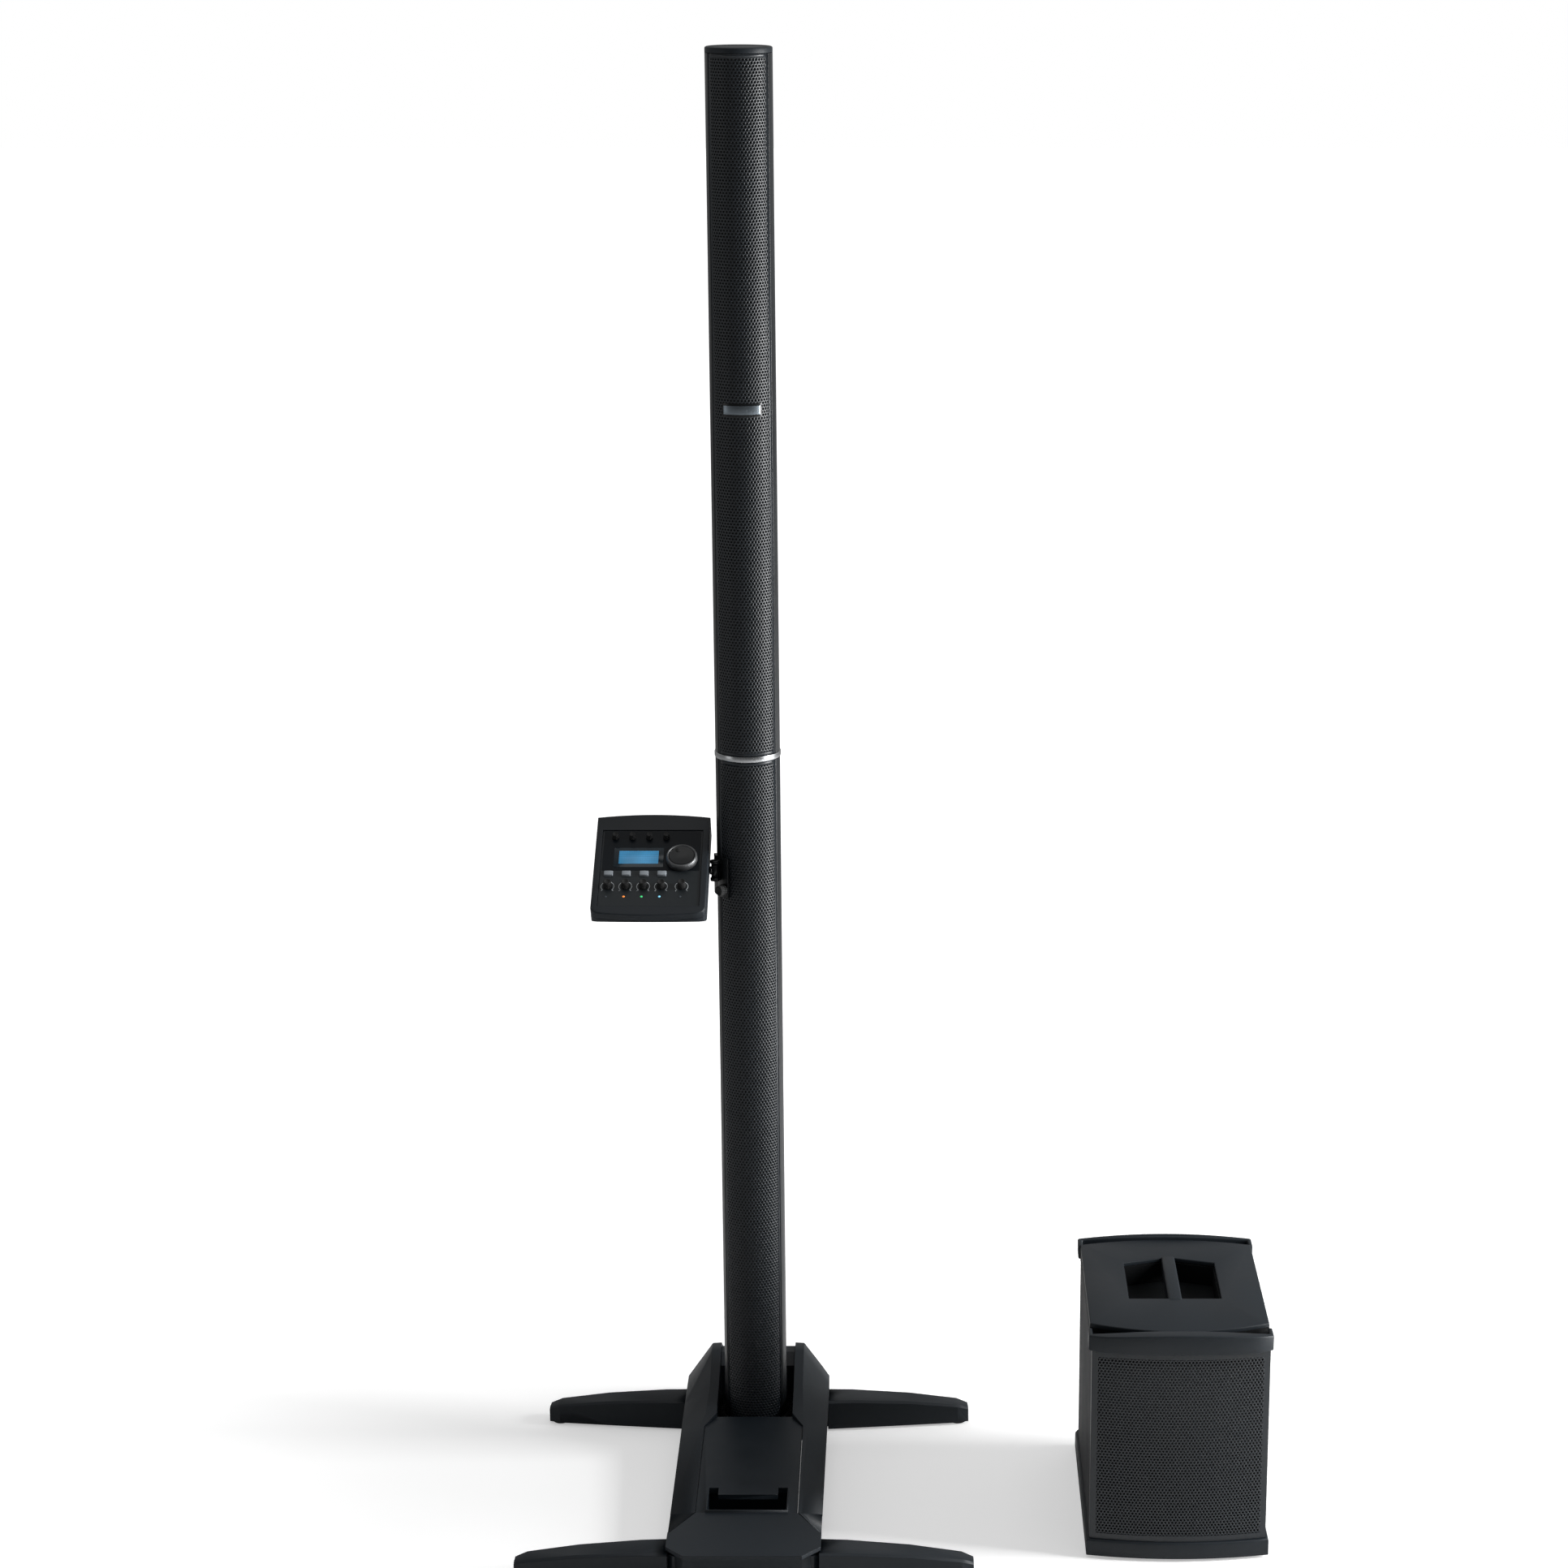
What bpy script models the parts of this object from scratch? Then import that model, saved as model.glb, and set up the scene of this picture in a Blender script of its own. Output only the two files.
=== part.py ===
"""Column loudspeaker system for live sound, in metres, +Z up, front towards -Y.

A two-part column stands in a powered stand with four folding legs, carries a small mixer on a side
arm, and plays with a separate bass module. The origin is on the floor under the column's axis.
"""

import math

import bmesh
import bpy
from mathutils import Matrix, Vector

# Gaps
FIT = 0.0003  # between two pieces that touch
COVER_GAP = 0.0006  # between neighbouring covers
SOCKET_PLAY = 0.0010  # round the column in its socket
SWING_GAP = 0.0040  # between a folding leg and the chassis
OVERLAP = 0.001  # where two solids are joined

# Column
COLUMN_TOP = 2.130
JOINT_HEIGHT = 1.112
COLUMN_BASE = 0.045
COLUMN_RADIUS = 0.0475
SHELL_WALL = 0.0030
GRILLE_WALL = 0.0015
GRILLE_RECESS = 0.0005
GRILLE_HALF_ANGLE = 61.0
SEAM_ANGLE = 0.8
RING_HEIGHT = 0.009
RING_PROUD = 0.0012
CAP_HEIGHT = 0.008
CAP_DEPTH = 0.022
PLUG_DEPTH = 0.009
PLUG_HEIGHT = 0.034
PLUG_RADIUS = 0.036
SPIGOT_LENGTH = 0.034
SPIGOT_SEAT = 0.028
SPIGOT_RADIUS = 0.0306
SPIGOT_BORE = 0.022
COLLAR_DEPTH = 0.036

# Column drivers
DRIVERS_PER_SECTION = 12
DRIVER_PITCH = 0.0755
DRIVER_RADIUS = 0.0285
DRIVER_DEPTH = 0.030
DRIVER_FACE = 0.0330  # in front of the column's axis
BAFFLE_BACK = 0.0150
BAFFLE_THICKNESS = 0.005
BAFFLE_END = 0.040
DRIVER_SIDES = 10

# Badge plate
BADGE_HEIGHT = 1.628
BADGE_TALL = 0.0125
BADGE_HALF_ANGLE = 33.0
BADGE_THICKNESS = 0.0010

# Stand
STAND_BACK = 0.190
STAND_FRONT = -0.472
CHASSIS_LOW = 0.012
CHASSIS_PLATE = 0.004
SOCKET_WALL = 0.008
SOCKET_TOP = 0.066
FLANGE_THICKNESS = 0.004
CHASSIS_MARGIN = 0.0015
COVER_WALL = 0.0025
COVER_OVER_PIVOT = 0.023
PEAK_HEIGHT = 0.131
PEAK_WIDTH = 0.014
CREST_LENGTH = 0.022  # how far the crest runs back past the rear legs' pivots
CHEEK_FALL = 0.040  # length of the slope behind the crest
FALL_HEIGHT = 0.103
CHEEK_SHOULDER = 0.074  # where the cheek's slanted side meets its upright one
CHEEK_BACK_TOP = 0.068
CHEEK_SADDLE = 0.010
REAR_COVER_STEP = 0.006  # how far the rear cover lies below the cheeks
DECK_TAPER = 0.030  # length over which the deck widens
DECK_SIDE = 0.017  # how much wider the deck opens than the well
DECK_BACK_HEIGHT = 0.080
DECK_FRONT_HEIGHT = 0.058
DECK_FRONT = -0.337
NOSE_FLARE_END = -0.398  # where the nose reaches its full width
TOE_TIP = 0.0035  # width of the cheek's front end there
SIDE_EDGE = 0.003  # upright edge of the covers along their outer side
DECK_THICKNESS = 0.003
RECESS_WIDTH = 0.116
RECESS_LENGTH = 0.075
RECESS_DEPTH = 0.032
RECESS_WALL = 0.0025
LIP_LENGTH = 0.024
LIP_SIDE = 0.014
CENTRE_FOOT_RADIUS = 0.032

# Legs
LEG_REACH = 0.242
LEG_ROOT_RADIUS = 0.026
LEG_ROOT_TOP = 0.0465
LEG_TOP = 0.0505
LEG_LOW = 0.004
LEG_TIP_TOP = 0.027
LEG_TIP_HALF_WIDTH = 0.012
LEG_BEVEL = 0.004
LEG_EDGE = 0.003
REAR_PIVOT_Y = 0.083
FRONT_PIVOT_Y = -0.425
REAR_LEG_ANGLE = 4.0
FRONT_LEG_ANGLE = 1.5
PIVOT_RADIUS = 0.008
LUG_THICKNESS = 0.0065
LUG_HALF_WIDTH = 0.016
LUG_SEAT = 0.010  # how far a lug reaches in over the tray
WEB_THICKNESS = 0.006
FOOT_RADIUS = 0.011
FOOT_FROM_TIP = 0.016

# Rear connectors
PLATE_THICKNESS = 0.0175
PLATE_HALF_WIDTH = 0.055
INLET_SIZE = (0.0294, 0.0214)
INLET_CAVITY = (0.0245, 0.0165)
INLET_X = -0.028
SOCKET_RADIUS = 0.0125
SOCKET_CAVITY = 0.0100
OUTPUT_X = 0.008
SWITCH_X = 0.038
SWITCH_SIZE = (0.0125, 0.0190)
CAVITY_DEPTH = 0.013
CONNECTOR_Z = 0.033

# Amplifier
STAND_OFF_HEIGHT = 0.005
STAND_OFF_RADIUS = 0.003
STAND_OFF_INSET = 0.010
BOARD_MARGIN = 0.006
BOARD_BEHIND_RECESS = 0.012
BOARD_GAP = 0.0055  # between the amplifier board and the transformer
SINK_MARGIN = 0.006
SINK_LENGTH = 0.024
SINK_HEIGHT = 0.016
TRANSFORMER_GAP = 0.014  # in front of the column's socket
TRANSFORMER_RADIUS = 0.042
TRANSFORMER_BORE = 0.014
TRANSFORMER_HEIGHT = 0.029
TRANSFORMER_ROUNDING = 0.004

# Arm
ARM_HEIGHT = 0.945
CLAMP_LOW = 0.905
CLAMP_TOP = 0.965
CLAMP_THICKNESS = 0.0045
CLAMP_ANGLES = (-80.0, -35.0)
PIVOT_ANGLE = -57.0
BARREL_RADIUS = 0.0055
BARREL_HEIGHT = 0.022
BARREL_GAP = 0.0005
PIVOT_PIN = 0.0030
CLAMP_LUG = 0.0070
CLAMP_LUG_HEIGHT = 0.004
ARM_BAR = 0.0062
TILT_PIN_RADIUS = 0.005
TILT_PIN_LENGTH = 0.028
THUMB_ANGLE = -44.0
THUMB_HEIGHT = 0.917
THUMB_RADIUS = 0.0085
THUMB_LENGTH = 0.011
THUMB_SHAFT = 0.0030

# Mixer, in its own frame: x across, y to the back, z out of the panel, from the top face's middle
MIXER_TILT = 30.0
MIXER_HALF_WIDTH = 0.0835
MIXER_SIDE_LENGTH = 0.0965
MIXER_BOW = 0.006
MIXER_DEPTH = 0.045
MIXER_FLOOR = 0.004
MIXER_SIDE_GAP = 0.0086  # from the arm's pivot to the mixer's side
MIXER_CORNER = 0.010
UNDERCUT_TOP = (-0.1035, -0.014)  # the slanted underside of the mixer's front, as (y, z)
UNDERCUT_SLOPE = -0.873
FRONT_HOLLOW_BACK = -0.055
FRONT_HOLLOW_LOW = -0.020
PIN_BACK = 0.0155
PIN_DOWN = 0.0297
BOSS_HALF = 0.0115
PANEL_HALF_WIDTH = 0.0735
PANEL_BACK = 0.069
PANEL_FRONT = -0.084
PANEL_DROP = 0.0015
PANEL_THICKNESS = 0.003
BOARD_DROP = 0.0149
BOARD_THICKNESS = 0.0016
CONTROL_PITCH = 0.026
FIRST_CONTROL_X = -0.061
TRIM_PITCH = 0.025
FIRST_TRIM_X = -0.055
TRIM_ROW = 0.055
TRIM_RADIUS = 0.0050
TRIM_HEIGHT = 0.008
LEVEL_ROW = -0.044
LEVEL_RADIUS = 0.0062
LEVEL_HEIGHT = 0.011
LAST_LEVEL_X = 0.047
BUTTON_ROW = -0.019
BUTTON_SIZE = (0.0130, 0.0085)
BUTTON_PROUD = 0.0035
BUTTON_TRAVEL = 0.0015
DIAL_PLACE = (0.045, 0.009)
DIAL_RADIUS = 0.023
DIAL_HEIGHT = 0.012
SHAFT_RADIUS = 0.003
KNOB_GAP = 0.0005
SCREEN_PLACE = (-0.0186, 0.0145)
SCREEN_SIZE = (0.064, 0.031)
SCREEN_THICKNESS = 0.002

# Bass module
BASS_X = 0.627
BASS_FRONT = -0.377
BASS_BACK = 0.008
BASS_HALF_WIDTH = 0.1325
BASS_HEIGHT = 0.355
BASS_BOW = 0.014
BASS_BOTTOM_CAP = 0.030
BASS_TOP_CAP = 0.030
BASS_FOOT_HEIGHT = 0.004
BASS_FOOT_RADIUS = 0.014
BASS_FOOT_INSET = 0.030
CAP_LIP = 0.0045  # how far the caps stand out past the cabinet's sides
CAP_TAIL = 0.020  # how far they stand out past its back
CABINET_WALL = 0.015
GRILLE_SPACE = 0.020
BASS_GRILLE_WALL = 0.0015
POCKET_HALF_WIDTH = 0.068
POCKET_FRONT = -0.230
POCKET_BACK = -0.074
POCKET_DEPTH = 0.044
POCKET_ARCH = 0.022  # how much further back the middle reaches
POCKET_TAPER = 0.003
POCKET_WALL = 0.0025
HANDLE_WIDTH = 0.019
HANDLE_THICKNESS = 0.018
WOOFER_RADIUS = 0.064
WOOFER_DEPTH = 0.070
WOOFER_HOLE = 0.056
WOOFER_HEIGHTS = (0.098, 0.230)
PORT_RADIUS = 0.018
PORT_WALL = 0.003
PORT_LENGTH = 0.120
PORT_X = 0.090
PORT_Z = 0.166
INPUT_HALF_WIDTH = 0.040
INPUT_HALF_HEIGHT = 0.030
INPUT_Z = 0.180
INPUT_SOCKETS_X = (-0.018, 0.018)
INPUT_BACK_GAP = 0.0020

# Sizes that follow
socket_bore = COLUMN_RADIUS + SOCKET_PLAY
ring_radius = socket_bore + SOCKET_WALL
chassis_half = ring_radius + CHASSIS_MARGIN
pivot_x = chassis_half + SWING_GAP + LEG_ROOT_RADIUS
body_half = pivot_x + COVER_OVER_PIVOT
well_half = chassis_half
deck_half = well_half + DECK_SIDE
lug_low = LEG_ROOT_TOP + FIT
lug_top = lug_low + LUG_THICKNESS
cover_low = lug_top + FIT
chassis_top = CHASSIS_LOW + CHASSIS_PLATE
shell_inner = COLUMN_RADIUS - SHELL_WALL
insert_radius = shell_inner - FIT
plate_front = STAND_BACK - PLATE_THICKNESS
saddle_inner = COLUMN_RADIUS + FIT
saddle_outer = saddle_inner + CLAMP_THICKNESS
pivot_reach = saddle_outer + BARREL_GAP + BARREL_RADIUS
arm_pivot = Vector((
    pivot_reach * math.sin(math.radians(PIVOT_ANGLE)),
    -pivot_reach * math.cos(math.radians(PIVOT_ANGLE)),
    ARM_HEIGHT,
))
mixer_turn = Matrix.Rotation(math.radians(MIXER_TILT), 4, "X")
mixer_x = arm_pivot.x - MIXER_SIDE_GAP - MIXER_HALF_WIDTH
mixer_middle = Vector((mixer_x, arm_pivot.y, ARM_HEIGHT)) - (
    mixer_turn @ Vector((0, PIN_BACK, -PIN_DOWN))
)
cabinet_half = BASS_HALF_WIDTH - CAP_LIP
cabinet_front = BASS_FRONT + GRILLE_SPACE + BASS_BOW
cabinet_back = BASS_BACK - CAP_TAIL
cabinet_low = BASS_BOTTOM_CAP + FIT
cabinet_top = BASS_HEIGHT - BASS_TOP_CAP - FIT
pocket_low = BASS_HEIGHT - POCKET_DEPTH


def start_scene():
    """Clears the scene and returns the collections for the parts and for the cutters."""
    for old in list(bpy.data.objects):
        bpy.data.objects.remove(old, do_unlink=True)
    parts = bpy.data.collections.new("column_pa_system")
    helpers = bpy.data.collections.new("cutters")
    bpy.context.scene.collection.children.link(parts)
    bpy.context.scene.collection.children.link(helpers)
    return parts, helpers


PARTS, CUTTERS = start_scene()


def make_material(name, colour, roughness, metallic=0.0):
    made = bpy.data.materials.new(name)
    made.use_nodes = True
    shader = made.node_tree.nodes["Principled BSDF"]
    shader.inputs["Base Color"].default_value = (*colour, 1)
    shader.inputs["Roughness"].default_value = roughness
    shader.inputs["Metallic"].default_value = metallic
    return made


BLACK_ALUMINIUM = make_material("black_anodised_aluminium", (0.030, 0.034, 0.038), 0.38, 0.7)
GRILLE_STEEL = make_material("perforated_steel", (0.020, 0.023, 0.026), 0.50, 0.4)
CHARCOAL_PLASTIC = make_material("charcoal_plastic", (0.028, 0.032, 0.034), 0.55)
BLACK_PLASTIC = make_material("black_plastic", (0.010, 0.011, 0.013), 0.45)
SATIN_METAL = make_material("satin_metal", (0.42, 0.43, 0.44), 0.35, 1.0)
STEEL = make_material("zinc_plated_steel", (0.35, 0.36, 0.37), 0.45, 1.0)
PAPER = make_material("cone_paper", (0.018, 0.018, 0.020), 0.80)
BOARD_GREEN = make_material("circuit_board", (0.010, 0.090, 0.035), 0.50)
RUBBER = make_material("rubber", (0.008, 0.008, 0.008), 0.85)
SCREEN_BLUE = make_material("lit_screen", (0.050, 0.230, 0.420), 0.20)
LIGHT_GREY = make_material("light_grey_plastic", (0.300, 0.310, 0.320), 0.50)
CABINET_BOARD = make_material("painted_fibreboard", (0.014, 0.014, 0.015), 0.60)


def add(name, mesh, finish, helper=False):
    """Puts a mesh in the scene as a part, or as a cutter that isn't rendered."""
    made = bpy.data.objects.new(name, mesh)
    mesh.materials.clear()
    mesh.materials.append(finish)
    (CUTTERS if helper else PARTS).objects.link(made)
    if helper:
        made.hide_render = True
        made.display_type = "WIRE"
    return made


def from_bmesh(name, shape, finish, helper=False):
    mesh = bpy.data.meshes.new(name)
    shape.to_mesh(mesh)
    shape.free()
    return add(name, mesh, finish, helper)


def box(name, low, high, finish=BLACK_PLASTIC, helper=False):
    """A block between two opposite corners."""
    low, high = Vector(low), Vector(high)
    shape = bmesh.new()
    size = high - low
    bmesh.ops.create_cube(shape, size=1, matrix=Matrix.Diagonal((*size, 1)))
    bmesh.ops.translate(shape, verts=shape.verts, vec=(low + high) / 2)
    return from_bmesh(name, shape, finish, helper)


def rod(name, radius, start, end, finish=BLACK_PLASTIC, helper=False, sides=24):
    """A round bar from one point to another."""
    start, end = Vector(start), Vector(end)
    turn = (end - start).to_track_quat("Z", "Y").to_matrix().to_4x4()
    shape = bmesh.new()
    bmesh.ops.create_cone(
        shape,
        cap_ends=True,
        segments=sides,
        radius1=radius,
        radius2=radius,
        depth=(end - start).length,
        matrix=Matrix.Translation((start + end) / 2) @ turn,
    )
    return from_bmesh(name, shape, finish, helper)


def turned(name, profile, finish=BLACK_PLASTIC, helper=False, sides=24):
    """A shape turned about Z from (radius, height) points that run down its outer side."""
    mesh = bpy.data.meshes.new(name)
    points = [(radius, 0, height) for radius, height in profile]
    closed = profile[0][0] > 0
    edges = [(i, i + 1) for i in range(len(points) - 1)]
    if closed:
        edges.append((len(points) - 1, 0))
    mesh.from_pydata(points, edges, [])
    made = add(name, mesh, finish, helper)
    screw = made.modifiers.new("turn", "SCREW")
    screw.steps = sides
    screw.render_steps = sides
    screw.use_merge_vertices = True
    screw.merge_threshold = 0.00001
    return made


def outline_slab(name, outline, low, high, finish=BLACK_PLASTIC, helper=False):
    """A flat outline of (x, y) points, given thickness from one height to another."""
    curve = bpy.data.curves.new(name, "CURVE")
    curve.dimensions = "2D"
    curve.fill_mode = "BOTH"
    curve.extrude = (high - low) / 2
    spline = curve.splines.new("POLY")
    spline.points.add(len(outline) - 1)
    spline.use_cyclic_u = True
    for point, (x, y) in zip(spline.points, outline):
        point.co = (x, y, 0, 1)
    guide = bpy.data.objects.new(name + "_outline", curve)
    CUTTERS.objects.link(guide)
    graph = bpy.context.evaluated_depsgraph_get()
    mesh = bpy.data.meshes.new_from_object(guide.evaluated_get(graph))
    bpy.data.objects.remove(guide, do_unlink=True)
    shape = bmesh.new()
    shape.from_mesh(mesh)
    bmesh.ops.remove_doubles(shape, verts=shape.verts, dist=0.000005)
    bmesh.ops.translate(shape, verts=shape.verts, vec=(0, 0, (low + high) / 2))
    bmesh.ops.recalc_face_normals(shape, faces=shape.faces)
    shape.to_mesh(mesh)
    shape.free()
    return add(name, mesh, finish, helper)


def loft(name, sections, finish=BLACK_PLASTIC, helper=False, open_bottom=False):
    """Joins like sections of points. Without open_bottom each section is a closed loop."""
    shape = bmesh.new()
    rows = [[shape.verts.new(point) for point in section] for section in sections]
    count = len(rows[0])
    spans = count - 1 if open_bottom else count
    for near, far in zip(rows, rows[1:]):
        for i in range(spans):
            j = (i + 1) % count
            shape.faces.new((near[i], near[j], far[j], far[i]))
    shape.faces.new(rows[0][::-1])
    shape.faces.new(rows[-1])
    return from_bmesh(name, shape, finish, helper)


def face_outwards(thing):
    """Makes a closed mesh's faces point out."""
    shape = bmesh.new()
    shape.from_mesh(thing.data)
    bmesh.ops.recalc_face_normals(shape, faces=shape.faces)
    shape.to_mesh(thing.data)
    shape.free()
    return thing


def boolean(target, other, operation):
    made = target.modifiers.new(operation.lower(), "BOOLEAN")
    made.operation = operation
    made.object = other
    return target


def cut(target, *cutters):
    for cutter in cutters:
        boolean(target, cutter, "DIFFERENCE")
    return target


def join(target, *others):
    for other in others:
        boolean(target, other, "UNION")
    return target


def thicken(target, wall):
    """Gives an open cover its wall, inwards."""
    made = target.modifiers.new("wall", "SOLIDIFY")
    made.thickness = wall
    made.offset = -1
    made.use_even_offset = True
    return target


def smooth(thing):
    thing.data.shade_smooth()
    return thing


def arc(radius, start, end, step=7.5):
    """Points on a circle about the column's axis, by angle from the front, positive to +X."""
    count = max(2, round(abs(end - start) / step))
    angles = [math.radians(start + (end - start) * i / count) for i in range(count + 1)]
    return [(radius * math.sin(angle), -radius * math.cos(angle)) for angle in angles]


def arc_wall(name, radius, wall, start, end, low, high, finish, helper=False):
    """A curved wall round the column's axis."""
    outline = arc(radius, start, end) + arc(radius - wall, end, start)
    return outline_slab(name, outline, low, high, finish, helper)


def around(angle, radius, height):
    """A point at an angle from the front, a radius and a height."""
    turn = math.radians(angle)
    return Vector((radius * math.sin(turn), -radius * math.cos(turn), height))


# ---------------------------------------------------------------- column


def driver_strip(name, middle):
    """The baffle strip of one column section, with its row of small drivers."""
    half_length = DRIVER_PITCH * (DRIVERS_PER_SECTION - 1) / 2 + BAFFLE_END
    baffle_front = BAFFLE_BACK + BAFFLE_THICKNESS
    half_width = math.sqrt(insert_radius**2 - baffle_front**2)
    strip = box(
        name,
        (-half_width, -baffle_front, middle - half_length),
        (half_width, -BAFFLE_BACK, middle + half_length),
        PAPER,
    )
    profile = [
        (0, -0.010),
        (DRIVER_RADIUS * 0.32, -0.012),
        (DRIVER_RADIUS * 0.80, 0),
        (DRIVER_RADIUS, 0),
        (DRIVER_RADIUS, -0.004),
        (DRIVER_RADIUS * 0.86, -0.006),
        (DRIVER_RADIUS * 0.62, -DRIVER_DEPTH * 0.6),
        (DRIVER_RADIUS * 0.62, -DRIVER_DEPTH),
        (0, -DRIVER_DEPTH),
    ]
    row = bmesh.new()
    for place in range(DRIVERS_PER_SECTION):
        height = middle + DRIVER_PITCH * (place - (DRIVERS_PER_SECTION - 1) / 2)
        edge = [row.verts.new((radius, 0, depth)) for radius, depth in profile]
        line = [row.edges.new(pair) for pair in zip(edge, edge[1:])]
        bmesh.ops.spin(
            row,
            geom=edge + line,
            cent=(0, 0, 0),
            axis=(0, 0, 1),
            angle=math.tau,
            steps=DRIVER_SIDES,
            use_merge=True,
        )
        fresh = [vert for vert in row.verts if not vert.tag]
        bmesh.ops.rotate(row, verts=fresh, cent=(0, 0, 0), matrix=Matrix.Rotation(math.pi / 2, 3, "X"))
        bmesh.ops.translate(row, verts=fresh, vec=(0, -DRIVER_FACE, height))
        for vert in row.verts:
            vert.tag = True
    bmesh.ops.remove_doubles(row, verts=row.verts, dist=0.00001)
    bmesh.ops.recalc_face_normals(row, faces=row.faces)
    drivers = from_bmesh(name + "_row", row, PAPER, helper=True)
    return join(strip, drivers)


def column_section(name, low, high):
    """The aluminium back shell, the perforated grille and the driver strip of one section."""
    shell_edge = GRILLE_HALF_ANGLE + SEAM_ANGLE / 2
    grille_edge = GRILLE_HALF_ANGLE - SEAM_ANGLE / 2
    smooth(arc_wall(
        name + "_shell",
        COLUMN_RADIUS,
        SHELL_WALL,
        shell_edge,
        360 - shell_edge,
        low,
        high,
        BLACK_ALUMINIUM,
    ))
    smooth(arc_wall(
        name + "_grille",
        COLUMN_RADIUS - GRILLE_RECESS,
        GRILLE_WALL,
        -grille_edge,
        grille_edge,
        low,
        high,
        GRILLE_STEEL,
    ))


def lower_column():
    column_section("lower_column", COLUMN_BASE, JOINT_HEIGHT)
    driver_strip("lower_drivers", (COLUMN_BASE + PLUG_HEIGHT + JOINT_HEIGHT - COLLAR_DEPTH) / 2)
    plug_top = COLUMN_BASE + PLUG_HEIGHT
    turned(
        "base_plug",
        [
            (0, plug_top),
            (insert_radius - GRILLE_WALL, plug_top),
            (insert_radius - GRILLE_WALL, COLUMN_BASE),
            (PLUG_RADIUS, COLUMN_BASE),
            (PLUG_RADIUS, COLUMN_BASE - PLUG_DEPTH),
            (0, COLUMN_BASE - PLUG_DEPTH),
        ],
    )
    collar_bore = SPIGOT_RADIUS + FIT
    turned(
        "head_collar",
        [
            (insert_radius - GRILLE_WALL, JOINT_HEIGHT - FIT),
            (insert_radius - GRILLE_WALL, JOINT_HEIGHT - COLLAR_DEPTH),
            (collar_bore, JOINT_HEIGHT - COLLAR_DEPTH),
            (collar_bore, JOINT_HEIGHT - FIT),
        ],
    )


def upper_column():
    low = JOINT_HEIGHT + RING_HEIGHT + 2 * FIT
    high = COLUMN_TOP - CAP_HEIGHT - FIT
    column_section("upper_column", low, high)
    driver_strip("upper_drivers", (low + SPIGOT_SEAT + high - CAP_DEPTH) / 2)
    spigot_top = low + SPIGOT_SEAT
    turned(
        "spigot",
        [
            (insert_radius - GRILLE_WALL, spigot_top),
            (insert_radius - GRILLE_WALL, low),
            (SPIGOT_RADIUS, low),
            (SPIGOT_RADIUS, JOINT_HEIGHT - SPIGOT_LENGTH),
            (SPIGOT_BORE, JOINT_HEIGHT - SPIGOT_LENGTH),
            (SPIGOT_BORE, spigot_top),
        ],
    )
    ring_low = JOINT_HEIGHT + FIT
    smooth(turned(
        "joint_ring",
        [
            (COLUMN_RADIUS + RING_PROUD, ring_low + RING_HEIGHT),
            (COLUMN_RADIUS + RING_PROUD, ring_low),
            (SPIGOT_RADIUS + FIT, ring_low),
            (SPIGOT_RADIUS + FIT, ring_low + RING_HEIGHT),
        ],
        SATIN_METAL,
        sides=48,
    ))
    turned(
        "top_cap",
        [
            (0, COLUMN_TOP),
            (COLUMN_RADIUS - 0.0015, COLUMN_TOP),
            (COLUMN_RADIUS, COLUMN_TOP - 0.0015),
            (COLUMN_RADIUS, COLUMN_TOP - CAP_HEIGHT),
            (insert_radius - GRILLE_WALL, COLUMN_TOP - CAP_HEIGHT),
            (insert_radius - GRILLE_WALL, COLUMN_TOP - CAP_DEPTH),
            (0, COLUMN_TOP - CAP_DEPTH),
        ],
        sides=48,
    )
    badge_inner = COLUMN_RADIUS - GRILLE_RECESS + FIT
    arc_wall(
        "badge_plate",
        badge_inner + BADGE_THICKNESS,
        BADGE_THICKNESS,
        -BADGE_HALF_ANGLE,
        BADGE_HALF_ANGLE,
        BADGE_HEIGHT - BADGE_TALL / 2,
        BADGE_HEIGHT + BADGE_TALL / 2,
        SATIN_METAL,
    )


# ---------------------------------------------------------------- stand


def pivots():
    """Name, place and rest angle of each leg."""
    return [
        ("rear_right", Vector((pivot_x, REAR_PIVOT_Y, 0)), REAR_LEG_ANGLE),
        ("rear_left", Vector((-pivot_x, REAR_PIVOT_Y, 0)), 180 - REAR_LEG_ANGLE),
        ("front_right", Vector((pivot_x, FRONT_PIVOT_Y, 0)), FRONT_LEG_ANGLE),
        ("front_left", Vector((-pivot_x, FRONT_PIVOT_Y, 0)), 180 - FRONT_LEG_ANGLE),
    ]


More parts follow.
